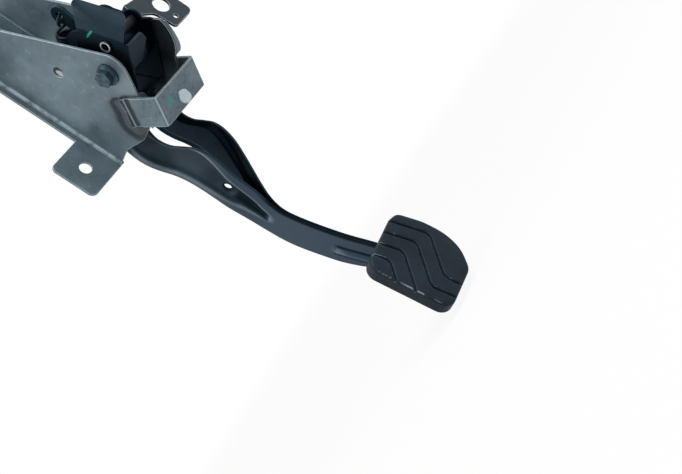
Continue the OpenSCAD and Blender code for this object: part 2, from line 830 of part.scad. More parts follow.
// The path of the spring wire: a hook, the coils and a second hook, along local +Z
spring_dir = (lever_hole - anchor_hole) / norm(lever_hole - anchor_hole);
spring_len = norm(lever_hole - anchor_hole);
coil_len = coil_turns * (wire_d + 0.12);
coil_r = coil_d / 2;
coil_steps = 12;
hook_r = 4.3;

// Each hook is a loop across the plate that it holds, open at its tip
function coil_path() =
    let (
        lead = (spring_len - coil_len) / 2,
        turns = [for (i = [0:coil_turns * coil_steps])
            [coil_r * sin(360 * i / coil_steps), coil_r * cos(360 * i / coil_steps),
                lead + coil_len * i / (coil_turns * coil_steps)]],
        end = spring_len - hook_r
    )
    concat(
        [for (a = [-120:30:180]) [hook_r * sin(a), 0, hook_r - hook_r * cos(a)]],
        [[0, coil_r * 0.55, lead - 2.4]],
        turns,
        [[0, coil_r * 0.55, spring_len - lead + 2.4]],
        [for (a = [180:-30:-120]) [hook_r * sin(a), 0, end + hook_r * cos(a)]]
    );

// A round wire swept along a list of points
module wire(path, d, sides) {
    n = len(path);
    function unit(v) = v / norm(v);
    function tangent(i) = unit(path[min(i + 1, n - 1)] - path[max(i - 1, 0)]);
    // No stretch of the wire runs along this direction
    function side_of(t) = unit(cross(t, [0.3, 0.5, 0.8]));
    rings = [for (i = [0:n - 1])
        let (t = tangent(i), u = side_of(t), v = cross(t, u))
        for (k = [0:sides - 1])
            path[i] + d / 2 * (u * cos(360 * k / sides) + v * sin(360 * k / sides))];
    polyhedron(
        points = rings,
        faces = concat(
            [[for (k = [0:sides - 1]) k]],
            [for (i = [0:n - 2]) for (k = [0:sides - 1])
                let (a = i * sides + k, b = i * sides + (k + 1) % sides)
                each [[a, a + sides, b + sides], [a, b + sides, b]]],
            [[for (k = [sides - 1:-1:0]) (n - 1) * sides + k]]
        )
    );
}

module return_spring() {
    color(black_coat) at_pivot() multmatrix([
        [1, 0, 0, 0],
        [0, spring_dir[1], spring_dir[0], anchor_hole[0]],
        [0, -spring_dir[0], spring_dir[1], anchor_hole[1]],
        [0, 0, 0, 1]
    ]) wire(coil_path(), wire_d, 6);
}

left_side_plate();
right_side_plate();
front_plate();
guard_strap();
switch_bracket();
pivot_bolt();
pivot_nut();
pivot_washer();
pivot_sleeve();
stop_bumper();
return_spring();
arm_left_shell();
arm_right_shell();
hub_tube();
left_bush();
right_bush();
spacer_tube();
spring_lever();
pushrod_pin();
pin_clip();
pad_plate();
pad_rubber();
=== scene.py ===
# %% [markdown]
# # A hanging clutch pedal, dressed for its photograph
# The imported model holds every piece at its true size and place. This script rounds the edges of the
# plain pieces, draws the pressings, the pad, the spring and the bolt again with finer meshes, and
# gives each piece the finish of the real pedal: dull zinc on the bracket, black dip on the arm and
# matt rubber on the pad.

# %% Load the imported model
import json
import math

import bmesh
import bpy
import numpy as np
from mathutils import Matrix, Vector


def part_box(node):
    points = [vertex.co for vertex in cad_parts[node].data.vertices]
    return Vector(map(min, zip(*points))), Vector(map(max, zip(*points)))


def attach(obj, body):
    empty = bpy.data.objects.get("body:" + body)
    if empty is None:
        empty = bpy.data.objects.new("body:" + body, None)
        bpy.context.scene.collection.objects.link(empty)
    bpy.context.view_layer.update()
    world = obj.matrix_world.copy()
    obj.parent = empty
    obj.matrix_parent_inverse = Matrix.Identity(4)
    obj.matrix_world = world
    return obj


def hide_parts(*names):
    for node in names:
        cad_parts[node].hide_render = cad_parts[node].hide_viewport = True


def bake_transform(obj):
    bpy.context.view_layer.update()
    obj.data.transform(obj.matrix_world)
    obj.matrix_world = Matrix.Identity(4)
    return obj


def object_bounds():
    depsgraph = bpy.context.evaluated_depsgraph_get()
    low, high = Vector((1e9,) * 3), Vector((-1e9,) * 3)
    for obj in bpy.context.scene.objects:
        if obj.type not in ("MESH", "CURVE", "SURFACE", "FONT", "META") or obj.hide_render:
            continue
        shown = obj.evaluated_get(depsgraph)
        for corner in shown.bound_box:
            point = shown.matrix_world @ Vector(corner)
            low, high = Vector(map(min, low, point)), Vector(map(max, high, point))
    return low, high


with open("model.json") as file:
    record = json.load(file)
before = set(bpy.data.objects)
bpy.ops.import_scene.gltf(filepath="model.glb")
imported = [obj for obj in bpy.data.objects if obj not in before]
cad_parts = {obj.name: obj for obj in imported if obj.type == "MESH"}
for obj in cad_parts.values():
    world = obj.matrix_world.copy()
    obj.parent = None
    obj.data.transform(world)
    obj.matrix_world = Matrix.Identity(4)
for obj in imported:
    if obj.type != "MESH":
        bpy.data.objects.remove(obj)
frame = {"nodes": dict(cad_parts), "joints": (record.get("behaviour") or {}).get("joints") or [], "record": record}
cad_box = [list(corner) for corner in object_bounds()]
nodes = frame["nodes"]
PIVOT = Vector(frame["joints"][0]["pos_m"])
MM = 0.001
print("the model has", len(nodes), "pieces, and its pivot is at", tuple(round(c, 4) for c in PIVOT))


# %% [markdown]
# ## The camera
# The photograph was taken from behind the pedal and to its left, with the camera turned on its
# side. A camera can be aimed with a constraint or with its angles. Here its three directions are
# known from the photograph, so they go straight into its matrix, and it stays where it is put.

# %% Place the camera
CAMERA_FROM_PIVOT = Vector((-443.5, -493.7, -132.3)) * MM
CAMERA_RIGHT = Vector((0.3841, -0.4061, -0.8292)).normalized()
CAMERA_UP = Vector((0.6625, -0.5043, 0.5539))
FOCAL_LENGTH = 52.8


def make_camera():
    data = bpy.data.cameras.new("photo_camera")
    data.lens = FOCAL_LENGTH
    data.sensor_width = 36.0
    data.clip_start = 0.01
    camera = bpy.data.objects.new("photo_camera", data)
    bpy.context.scene.collection.objects.link(camera)
    back = CAMERA_RIGHT.cross(CAMERA_UP).normalized()
    turn = Matrix((CAMERA_RIGHT, back.cross(CAMERA_RIGHT), back)).transposed()
    camera.matrix_world = Matrix.Translation(PIVOT + CAMERA_FROM_PIVOT) @ turn.to_4x4()
    bpy.context.scene.camera = camera
    return camera


camera = make_camera()
print("camera at", tuple(round(c, 3) for c in camera.location))


# %% [markdown]
# ## Shader maths as plain expressions
# A node tree for wear or dirt is mostly arithmetic on masks. Linking Math nodes by hand hides that
# arithmetic, so a small class wraps a socket and lets it be added, multiplied and subtracted. Every
# other node comes from one method, which takes the node's type, its settings and its inputs.

# %% The wrapped socket
class Mask:
    """A shader socket with a number in it, which can be used in arithmetic."""

    def __init__(self, tree, socket):
        self.tree = tree
        self.socket = socket

    def math(self, operation, first, second):
        node = self.tree.nodes.new("ShaderNodeMath")
        node.operation = operation
        set_input(self.tree, node.inputs[0], first)
        set_input(self.tree, node.inputs[1], second)
        return Mask(self.tree, node.outputs[0])

    def __add__(self, other):
        return self.math("ADD", self, other)

    def __mul__(self, other):
        return self.math("MULTIPLY", self, other)

    def __sub__(self, other):
        return self.math("SUBTRACT", self, other)

    def __rsub__(self, other):
        return self.math("SUBTRACT", other, self)

    __radd__ = __add__
    __rmul__ = __mul__


def set_input(tree, socket, value):
    """Links a wrapped socket to an input, or sets the input's own value."""
    if isinstance(value, Mask):
        tree.links.new(value.socket, socket)
    else:
        socket.default_value = value


# %% A finish under construction
class Finish:
    """A material, or the world, whose nodes are made one by one."""

    def __init__(self, name, owner=None):
        self.owner = owner or bpy.data.materials.new(name)
        self.owner.use_nodes = True
        self.tree = self.owner.node_tree
        self.tree.nodes.clear()

    def node(self, kind, settings=None, output=0, **inputs):
        """A node: its type, its settings, then its inputs by name, or by number after i."""
        made = self.tree.nodes.new("ShaderNode" + kind)
        for key, value in (settings or {}).items():
            setattr(made, key, value)
        for key, value in inputs.items():
            numbered = key[0] == "i" and key[1:].isdigit()
            socket = made.inputs[int(key[1:]) if numbered else key.replace("_", " ")]
            set_input(self.tree, socket, value)
        return Mask(self.tree, made.outputs[output])

    def close(self, surface, kind="Material"):
        out = self.tree.nodes.new("ShaderNodeOutput" + kind)
        self.tree.links.new(surface.socket, out.inputs["Surface"])
        return self.owner

    def skin(self, **inputs):
        """The closing shader. Numbers that are the same all over stay on its own sockets."""
        return self.close(self.node("BsdfPrincipled", **inputs))


# %% [markdown]
# Most finishes need the same few masks. Noise gives stains and grain at a size in millimetres. A
# band turns it into patches with soft edges. The edge mask compares the true normal with one that
# the Bevel node has rounded, so it finds the corners that hands and shoes rub bright.

# %% Masks that the finishes share
def where(f):
    """The place on the object, in metres from the model's origin."""
    return f.node("TexCoord", output=3)


def noise(f, size_mm, detail=4.0, rough=0.55, stretch=(1, 1, 1), turn=(0, 0, 0)):
    place = f.node("Mapping", Vector=where(f), Scale=stretch, Rotation=turn)
    return f.node("TexNoise", Vector=place, Scale=1 / (size_mm * MM), Detail=detail, Roughness=rough)


def band(f, value, low, high):
    """0 at low, 1 at high and smooth between."""
    smooth = {"interpolation_type": "SMOOTHSTEP"}
    if low > high:
        return 1.0 - band(f, value, high, low)
    return f.node("MapRange", smooth, Value=value, From_Min=low, From_Max=high)


def blend_colour(f, factor, first, second):
    shades = [c if isinstance(c, Mask) else (*c, 1.0) for c in (first, second)]
    return f.node("Mix", {"data_type": "RGBA"}, output=2, i0=factor, i6=shades[0], i7=shades[1])


def corners(f, width_mm):
    """1 on rounded and cut edges, 0 on the open faces."""
    rounded = f.node("Bevel", {"samples": 6}, Radius=width_mm * MM)
    true = f.node("NewGeometry", output=1)
    along = f.node("VectorMath", {"operation": "DOT_PRODUCT"}, output=1, i0=rounded, i1=true)
    return band(f, 1.0 - along, 0.01, 0.12)


def near(f, point_mm, radius_mm, ragged=0.0, soft=0.18):
    """1 within a radius of a point given in millimetres from the pivot, with a ragged, soft rim."""
    centre = PIVOT + Vector(point_mm) * MM
    away = f.node("VectorMath", {"operation": "DISTANCE"}, output=1, i0=where(f), i1=centre)
    wander = (noise(f, radius_mm * 0.7, 3.0) - 0.5) * (ragged * radius_mm * MM)
    return band(f, away + wander, radius_mm * (1 + soft) * MM, radius_mm * (1 - soft) * MM)


def along(f, direction, point_mm):
    """The distance in metres from a point, measured along a direction."""
    start = PIVOT + Vector(point_mm) * MM
    step = f.node("VectorMath", {"operation": "SUBTRACT"}, i0=where(f), i1=start)
    return f.node("VectorMath", {"operation": "DOT_PRODUCT"}, output=1, i0=step, i1=direction)


def paint_dab(f, point_mm, long_way, length_mm, short_way, width_mm):
    """1 inside a ragged ellipse that lies along two directions, as a wiped dab of paint does."""
    first = along(f, long_way, point_mm) * (2 / (length_mm * MM))
    second = along(f, short_way, point_mm) * (2 / (width_mm * MM))
    out = first * first + second * second + (noise(f, width_mm * 0.5, 3.0) - 0.5) * 1.2
    return band(f, out, 1.25, 0.75)


def bump(f, height, depth_mm, strength=1.0):
    return f.node("Bump", Height=height, Distance=depth_mm * MM, Strength=strength)


print("shader helpers are ready")


# %% [markdown]
# ## Zinc on the bracket
# The bracket's steel is plated and dull. From a step away it is an even blue-grey, brighter where an
# edge catches the light, and mottled where hands, rain and dust have been. Noise at three sizes
# gives that: broad stains, spots of some millimetres, and a fine grain in the bump. Welding burnt
# the plating beside the strap's left end, and two dabs of inspection paint were left on the strap.

# %% Where the strap stands, in millimetres from the pivot
STRAP_START = (0.0, 10.2, -14.3)
RIGHT = Vector((1.0, 0.0, 0.0))
FORWARD = Vector((0.0, 1.0, 0.0))
UP = Vector((0.0, 0.0, 1.0))
LEG = Vector((0.0, -0.6997, -0.7145))
ACROSS = Vector((0.0, 0.7145, -0.6997))


def from_weld(f):
    """Metres along the strap from its left weld, and from the weld's line in any direction."""
    ragged = (noise(f, 6, 4.0) - 0.5) * 0.004
    down = along(f, LEG, STRAP_START) + ragged
    across = along(f, ACROSS, STRAP_START) + ragged
    above = across.math("MAXIMUM", 0.0045 - across, 0.0) * 3.0
    below = across.math("MAXIMUM", across - 0.021, 0.0)
    return down, down.math("SQRT", down * down + above * above + below * below, 0.0)


# %% Make the zinc
ZINC = (0.148, 0.210, 0.245)
ZINC_DULL = (0.090, 0.128, 0.152)
ZINC_BRIGHT = (0.36, 0.44, 0.48)


def make_zinc():
    f = Finish("dull_zinc")
    stains = noise(f, 42, 5.0, 0.6)
    spots = noise(f, 5.5, 6.0, 0.62)
    grain = noise(f, 0.6, 3.0)
    scratches = noise(f, 1.9, 2.0, 0.5, (1, 0.05, 0.4), (0.5, 0.2, 0.9))
    worn = corners(f, 0.8)
    down, away = from_weld(f)
    sideways = along(f, RIGHT, (0, 0, 0))
    on_plate = band(f, sideways, -0.0210, -0.0215) * band(f, sideways, -0.0226, -0.0223)
    on_strap = band(f, sideways, -0.0223, -0.0226) * band(f, down, -0.004, -0.002)
    uneven = (noise(f, 9, 4.0, 0.6) - 0.5) * 0.004
    ring = band(f, away + uneven, 0.0162, 0.0120) * band(f, away + uneven, 0.0062, 0.0104)
    haze = band(f, away, 0.0120, 0.0080) * 0.45
    soot_and_shade = on_plate * ring.math("MAXIMUM", ring, haze)
    # On the strap's lap beside the weld, soot and painted shade of the strap's step darken the zinc together.
    soot_and_shade = soot_and_shade + on_strap * band(f, down, 0.0062, 0.0036)
    straw = on_plate * band(f, away + uneven, 0.0210, 0.0145)
    outside = on_strap.math("MAXIMUM", on_strap, band(f, down, 0.0250, 0.0258))
    smudges = outside * band(f, noise(f, 3.4, 6.0, 0.7), 0.50, 0.38)
    base = blend_colour(f, band(f, stains, 0.3, 0.68), ZINC_DULL, ZINC)
    base = blend_colour(f, band(f, spots, 0.56, 0.74) * 0.30, base, ZINC_BRIGHT)
    base = blend_colour(f, band(f, spots, 0.42, 0.28) * 0.40, base, (0.052, 0.060, 0.062))
    base = blend_colour(f, band(f, scratches, 0.68, 0.74) * 0.03, base, ZINC_BRIGHT)
    base = blend_colour(f, smudges * 0.45, base, (0.050, 0.062, 0.070))
    # Painted light: a paler patch on the left plate between the bolt and the strap.
    base = blend_colour(f, near(f, (-22.2, 1.0, -13.5), 9.0, 0.3, 0.6) * 0.30, base, ZINC_BRIGHT)
    base = blend_colour(f, straw * 0.40, base, (0.100, 0.112, 0.102))
    base = blend_colour(f, soot_and_shade * 0.92, base, (0.015, 0.028, 0.037))
    burnt = on_plate * near(f, (-21.0, 29.0, -38.5), 8.5, 1.4, 0.5)
    base = blend_colour(f, burnt * 0.80, base, (0.048, 0.056, 0.048))
    depth, height = along(f, FORWARD, (0, 0, 0)), along(f, UP, (0, 0, 0))
    # Painted shade: near-black on the right plate's inner face round the pivot, and on the switch bracket outside
    # the right plate.
    inside = near(f, (21.0, -10.0, 2.0), 30.0, 0.3, 0.3) * band(f, sideways, 0.0219, 0.0213)
    far_side = band(f, sideways, 0.0222, 0.0225) * band(f, depth, 0.030, 0.024)
    far_side = far_side * band(f, height, -0.0152, -0.0148) * band(f, height, 0.024, 0.022)
    darkening = inside.math("MAXIMUM", inside, far_side)
    base = blend_colour(f, darkening * 0.88, base, (0.012, 0.019, 0.028))
    base = blend_colour(f, near(f, (20.0, -2.0, -42.0), 8.0, 1.4) * 0.12, base, (0.30, 0.40, 0.46))
    # Painted light: a near-white spot on the inner face of the front plate, where the clip hole in the left plate
    # looks through to it.
    painted_light_spot = near(f, (12.1, 70.0, 44.3), 3.5, 0.3) * band(f, depth, 0.0712, 0.0706)
    base = blend_colour(f, painted_light_spot, base, (0.92, 0.96, 0.98))
    # Painted highlights: a pale line where the strap's bend faces one way, and a pale band along a bend at the
    # front of the left plate. Both join the edge wear in one mask, which then pales the zinc.
    fold_highlight = f.node("VectorMath", {"operation": "DOT_PRODUCT"}, output=1,
                  i0=f.node("NewGeometry", output=1), i1=LEG * 0.707 + Vector((-0.707, 0, 0)))
    worn = worn.math("MAXIMUM", worn, band(f, fold_highlight, 0.965, 0.997) * 0.5)
    bend = band(f, sideways, -0.0249, -0.0240) * band(f, sideways, -0.0218, -0.0221)
    bend = bend * band(f, depth, 0.0676, 0.0690) * band(f, noise(f, 7, 4.0, 0.6), 0.30, 0.55)
    worn = worn.math("MAXIMUM", worn, bend * 0.75)
    base = blend_colour(f, worn * 0.9, base, (0.62, 0.70, 0.74))
    upright, level = RIGHT * 0.603 - ACROSS * 0.798, RIGHT * 0.798 + ACROSS * 0.603
    for point, size, paint in (
        ((-14.15, -2.6, -41.2), (7.6, 3.8), (0.02, 0.27, 0.21)),
        ((-19.3, -1.9, -42.0), (3.6, 1.8), (0.20, 0.09, 0.13)),
    ):
        mark = on_strap.math("MAXIMUM", on_strap, band(f, down, 0.0250, 0.0258))
        mark = mark * paint_dab(f, point, upright, size[0], level, size[1])
        base = blend_colour(f, mark * 0.72, base, paint)
    rough = 0.44 + stains * 0.16 - worn * 0.12 + soot_and_shade * 0.2
    relief = grain * 0.6 + spots * 1.5 + soot_and_shade * noise(f, 2.5, 3.0) * 4.0
    return f.skin(Base_Color=base, Roughness=rough, Metallic=0.45 - painted_light_spot * 0.45, Normal=bump(f, relief, 0.03, 0.6))


zinc = make_zinc()
print("made", zinc.name)


# %% [markdown]
# ## Black on the arm
# The pressings were dipped in a thick black that flows and sets with a soft gloss. Where the sheet
# bulges, a painted highlight lightens it grey, and the flat sheet gets a fainter painted sheen. The
# dish and the inner faces get painted shade, and the head round the pivot is painted darker. The
# arm's meshes carry a value for this: 1 on the crests, 0 in the dish and below 0 on the inner faces.

# %% Make the black coating
def make_black():
    f = Finish("black_dip")
    painted_light = f.node("Attribute", {"attribute_name": "painted_light"}, output=2)
    # Painted light from the pressing's shape: a highlight on the crests, a fainter sheen on the flat, and painted
    # shade below 0.
    flat, crest_highlight = band(f, painted_light, 0.0, 0.4), band(f, painted_light, 0.4, 1.0)
    deep_shade = band(f, painted_light, -0.05, -0.5)
    peel = noise(f, 2.4, 2.0, 0.4)
    flow = noise(f, 16, 3.0, 0.5)
    dust = band(f, noise(f, 9, 8.0, 0.65), 0.46, 0.76)
    specks = band(f, noise(f, 0.9, 2.0, 0.5), 0.70, 0.76)
    sideways = along(f, RIGHT, (0, 0, 0)) + (flow - 0.5) * 0.004
    # The head round the pivot is painted darker, most of all on its left outer face and its right half.
    at_head = band(f, along(f, UP, (0, 0, 0)), -0.030, -0.016)
    dark_round_pivot = at_head * (band(f, sideways, -0.0142, -0.0160) + band(f, sideways, 0.008, 0.012))
    # Painted shade in patches down the left leg of the fork.
    fork_shade = near(f, (-17.0, 40.0, -34.0), 14.0, 0.6, 0.5) * 0.8
    for point, radius, share in (
        ((-14.0, 50.0, -50.0), 11.0, 0.62), ((-10.0, 42.0, -88.0), 8.0, 0.50), ((-7.0, 45.4, -101.0), 5.0, 0.80),
    ):
        fork_shade = fork_shade.math("MAXIMUM", fork_shade, near(f, point, radius, 1.0, 0.55) * share)
    dark = deep_shade.math("MAXIMUM", deep_shade.math("MAXIMUM", deep_shade * 0.95, dark_round_pivot * 0.93), fork_shade)
    dark = dark.math("MAXIMUM", dark, at_head * 0.25)
    # A painted highlight on the dish of the left leg.
    dish_highlight = near(f, (-11.5, 50.0, -74.0), 12.0, 0.8, 0.6)
    worn = corners(f, 0.5) * (1.0 - dark)
    chips = worn * band(f, noise(f, 1.6, 5.0, 0.6), 0.50, 0.60)
    base = blend_colour(f, flow, (0.0040, 0.0150, 0.0240), (0.0110, 0.0290, 0.0420))
    base = blend_colour(f, dish_highlight * 0.6, base, (0.0280, 0.0560, 0.0780))
    base = blend_colour(f, flat, base, (0.022, 0.048, 0.082))
    base = blend_colour(f, crest_highlight * 0.9, base, (0.125, 0.180, 0.215))
    base = blend_colour(f, dust * 0.20, base, (0.050, 0.072, 0.088))
    base = blend_colour(f, specks * 0.35, base, (0.12, 0.15, 0.17))
    base = blend_colour(f, worn * 0.14 + chips * 0.4, base, (0.16, 0.20, 0.23))
    base = blend_colour(f, dark, base, (0.0035, 0.0060, 0.0105))
    wiped = paint_dab(f, (-15.4, -15.6, 22.0), Vector((0, -0.991, -0.133)), 6.4, Vector((0, 0.133, -0.991)), 1.7)
    wiped = wiped * at_head * band(f, along(f, RIGHT, (0, 0, 0)), -0.0140, -0.0150)
    base = blend_colour(f, wiped * 0.85, base, (0.02, 0.22, 0.15))
    rough = 0.42 + dust * 0.14 + flow * 0.08 - crest_highlight * 0.10
    coat = (0.12 + crest_highlight * 0.5 + flat * 0.12) * (1.0 - dark)
    height = peel * 0.5 + flow * 2.0 + dust * 0.3
    return f.skin(
        Base_Color=base, Roughness=rough, Metallic=dark * 0.9, Coat_Weight=coat,
        Normal=bump(f, height, 0.05, 0.35), Coat_Roughness=0.22, Specular_IOR_Level=0.10,
        Specular_Tint=(0.70, 0.88, 1.0, 1.0),
    )


black = make_black()
print("made", black.name)


# %% [markdown]
# ## Rubber on the pad
# The pad is matt and a little dusty. Its blocks are paler along their rims where shoes rub them,
# and dark down in the grooves. A fine grain in the bump keeps the highlights broad.

# %% Make the rubber
def make_rubber():
    f = Finish("pad_rubber")
    grain = noise(f, 0.4, 3.0, 0.6)
    cloud = noise(f, 13, 5.0, 0.6)
    lint = band(f, noise(f, 1.1, 3.0, 0.6), 0.68, 0.74)
    worn = corners(f, 0.9)
    base = blend_colour(f, band(f, cloud, 0.3, 0.72), (0.0085, 0.0150, 0.0225), (0.0145, 0.0240, 0.0340))
    # Painted glints: pale specks along the groove edges, and a painted highlight on the lower-left rim, picked by
    # the way the surface faces.
    glint = worn * band(f, noise(f, 3.2, 3.0, 0.6), 0.48, 0.56)
    rim = f.node("VectorMath", {"operation": "DOT_PRODUCT"}, output=1,
                 i0=f.node("NewGeometry", output=1), i1=(-0.72, -0.68, 0.12))
    glint = glint.math("MAXIMUM", glint, band(f, rim, 0.95, 0.995) * band(f, cloud, 0.50, 0.60))
    base = blend_colour(f, worn * 0.22, base, (0.050, 0.070, 0.085))
    base = blend_colour(f, lint * 0.20, base, (0.10, 0.12, 0.13))
    base = blend_colour(f, glint * 0.60, base, (0.38, 0.46, 0.50))
    rough = 0.44 + grain * 0.12 + cloud * 0.08 - worn * 0.08
    return f.skin(
        Base_Color=base, Roughness=rough, Coat_Weight=0.08 + worn * 0.85, Coat_Roughness=0.14,
        Normal=bump(f, grain + cloud * 0.8, 0.05, 0.6),
        Specular_IOR_Level=0.12, Specular_Tint=(0.70, 0.88, 1.0, 1.0),
    )


rubber = make_rubber()
print("made", rubber.name)


# %% [markdown]
# ## The small metals and the pale plastics
# One recipe serves the bolt, the cut steel and the spring wire: a grey, its roughness, and how much
# dark grime lies in it. The bushes and the stop's button are pale and matt, and share another.

# %% Make the small finishes
def make_metal(name, shade, rough, darkening, metallic=0.8):
    f = Finish(name)
    dirt = band(f, noise(f, 4, 6.0, 0.6), 0.45, 0.7)
    turned = noise(f, 0.8, 3.0, 0.5, (0.1, 1, 1))
    worn = corners(f, 0.35)
    base = blend_colour(f, dirt * darkening, shade, [c * 0.25 for c in shade])
    base = blend_colour(f, worn * 0.6, base, [min(1.0, c * 2.2) for c in shade])
    height = turned + dirt
    return f.skin(
        Base_Color=base, Roughness=rough + dirt * 0.2, Metallic=metallic, Normal=bump(f, height, 0.02, 0.5),
        Specular_IOR_Level=0.25, Specular_Tint=(0.75, 0.90, 1.0, 1.0),
    )


def make_plastic(name, shade, rough):
    f = Finish(name)
    cloud = noise(f, 3, 4.0, 0.6)
    dust = band(f, noise(f, 1.5, 6.0, 0.6), 0.5, 0.75)
    base = blend_colour(f, cloud, shade, [c * 0.84 for c in shade])
    base = blend_colour(f, dust * 0.3, base, (0.30, 0.31, 0.29))
    return f.skin(Base_Color=base, Roughness=rough + dust * 0.15, Normal=bump(f, cloud, 0.05, 0.6))


def make_tube_end():
    """Bright where the spacer's rim was turned, and dark in its bore and down its wall."""
    f = Finish("turned_rim")
    low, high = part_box("spacer_tube")
    middle = (Vector(low) + Vector(high)) / 2
    radius = (high[1] - low[1]) / 2
    step = f.node("VectorMath", {"operation": "SUBTRACT"}, i0=where(f), i1=middle)
    flat = f.node("VectorMath", {"operation": "MULTIPLY"}, i0=step, i1=(0, 1, 1))
    out = f.node("VectorMath", {"operation": "LENGTH"}, output=1, i0=flat)
    dirt = band(f, noise(f, 3, 4.0, 0.6), 0.40, 0.65)
    length = f.node("VectorMath", {"operation": "DOT_PRODUCT"}, output=1, i0=step, i1=RIGHT)
    end = (high[0] - low[0]) / 2
    rim = band(f, out, radius - 0.0016, radius - 0.0013) * band(f, out, radius - 0.0005, radius - 0.0008)
    bright = rim * band(f, length, 0.0006 - end, 0.0003 - end)
    base = blend_colour(f, bright * (1.0 - dirt * 0.5), (0.010, 0.013, 0.017), (0.50, 0.55, 0.59))
    return f.skin(Base_Color=base, Roughness=0.35 + dirt * 0.2, Metallic=0.7, Normal=bump(f, dirt, 0.02, 0.5))


def make_stop():
    """Pale where the button shows outside the strap, and dark rubber inside it."""
    f = Finish("stop_rubber")
    cloud = noise(f, 2.5, 4.0, 0.6)
    outside = band(f, along(f, LEG, STRAP_START), 0.0262, 0.0270)
    pale = blend_colour(f, cloud, (0.42, 0.53, 0.57), (0.62, 0.72, 0.75))
    base = blend_colour(f, outside, (0.008, 0.011, 0.014), pale)
    return f.skin(Base_Color=base, Roughness=0.45 + cloud * 0.2, Normal=bump(f, cloud, 0.08, 0.8))


dark_steel = make_metal("dark_steel", (0.042, 0.066, 0.084), 0.28, 0.75, 0.75)
cut_steel = make_metal("cut_steel", (0.42, 0.45, 0.47), 0.30, 0.35)
wire_steel = make_metal("wire_steel", (0.012, 0.016, 0.022), 0.42, 0.6, 0.6)
nylon = make_plastic("bush_nylon", (0.50, 0.49, 0.43), 0.5)
weld_steel = make_metal("weld_steel", (0.105, 0.138, 0.160), 0.38, 0.50, 0.5)
stop_rubber = make_stop()
turned_rim = make_tube_end()
print("small finishes:", [m.name for m in (dark_steel, cut_steel, wire_steel, nylon, weld_steel, stop_rubber, turned_rim)])


# %% [markdown]
# ## Pieces that stand for the model's nodes
# Each new mesh rides on the body of its node and hides the node's plain solid. New
# vertices are written in millimetres from the pivot axis, as a drawing of the pedal would give
# them, and are moved to the model's frame in metres in one place.

# %% Add a piece
BODY_OF = {
    node: body for body, names in frame["record"]["behaviour"]["bodies"].items() for node in names
}


def add_object(name, mesh):
    piece = bpy.data.objects.new(name, mesh)
    bpy.context.scene.collection.objects.link(piece)
    for face in mesh.polygons:
        face.use_smooth = True
    return piece


def stand_for(piece, node, material, blend_to=None):
    """Finishes a piece: its material, its body or, with blend_to, its place baked in, and the node that it
    replaces, which is hidden.
    """
    piece.data.materials.clear()
    piece.data.materials.append(material)
    if blend_to:
        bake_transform(piece)
    else:
        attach(piece, BODY_OF[node])
    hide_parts(node)
    return piece


def mesh_of(name, points_mm, faces):
    """A mesh from points in millimetres about the pivot axis."""
    mesh = bpy.data.meshes.new(name)
    mesh.from_pydata([PIVOT + Vector(p) * MM for p in points_mm], [], faces)
    mesh.validate()
    bm = bmesh.new()
    bm.from_mesh(mesh)
    bmesh.ops.recalc_face_normals(bm, faces=bm.faces)
    bm.to_mesh(mesh)
    bm.free()
    return mesh


# %% [markdown]
# ## Rounded edges on flat and turned pieces
# No real edge is sharp, and the thin bright line along a rounded edge is what tells the eye that a
# piece is metal. The model's solids are true but sharp. Each is copied, its triangles on one plane
# are joined, a Bevel modifier rounds what is still an edge, and weighted normals keep the faces
# between the rounded edges looking flat.

# %% Copy a node with rounded edges
def join_flat_faces(mesh, angle=0.6):
    bm = bmesh.new()
    bm.from_mesh(mesh)
    bmesh.ops.remove_doubles(bm, verts=bm.verts, dist=2e-6)
    bmesh.ops.dissolve_limit(bm, angle_limit=math.radians(angle), verts=bm.verts, edges=bm.edges)
    bm.to_mesh(mesh)
    bm.free()


def round_edges(piece, width_mm, segments=2, angle=32):
    bevel = piece.modifiers.new("round_edges", "BEVEL")
    bevel.width = width_mm * MM
    bevel.segments = segments
    bevel.limit_method = "ANGLE"
    bevel.angle_limit = math.radians(angle)
    weighted = piece.modifiers.new("flat_faces", "WEIGHTED_NORMAL")
    weighted.weight = 70
    weighted.keep_sharp = False


def soften(node, material, width_mm):
    mesh = nodes[node].data.copy()
    join_flat_faces(mesh)
    piece = add_object(node + "_skin", mesh)
    round_edges(piece, width_mm)
    return stand_for(piece, node, material)


# %% Dress the plain pieces
PLAIN = {
    "left_side_plate": (zinc, 0.35),
    "right_side_plate": (zinc, 0.35),
    "front_plate": (zinc, 0.35),
    "guard_strap": (zinc, 0.35),
    "switch_bracket": (zinc, 0.35),
    "pivot_washer": (dark_steel, 0.2),
    "pivot_sleeve": (cut_steel, 0.2),
    "stop_bumper": (stop_rubber, 0.5),
    "hub_tube": (black, 0.3),
    "left_bush": (nylon, 0.25),
    "right_bush": (nylon, 0.25),
    "spacer_tube": (turned_rim, 0.25),
    "spring_lever": (black, 0.4),
    "pushrod_pin": (cut_steel, 0.25),
    "pin_clip": (wire_steel, 0.12),
    "pad_plate": (black, 0.4),
    "pivot_nut": (dark_steel, 0.25),
}
for node, (material, width) in PLAIN.items():
    soften(node, material, width)
print("dressed", len(PLAIN), "pieces with rounded edges")


# %% [markdown]
# ## The two pressings of the arm
# Each half of the arm is one sheet, pressed in a die: flat round the pivot, dished along the fork,
# with a groove below the dish and a short rib above the pad. A die gives smooth slopes and even
# radii, so the sheet is lofted through rows of points. A row runs from the rear edge to the front
# edge, its depth comes from the same soft steps as the model's solid, and a half circle rounds each
# of its ends. The flat head is cut from the model's solid and gets rounded edges.

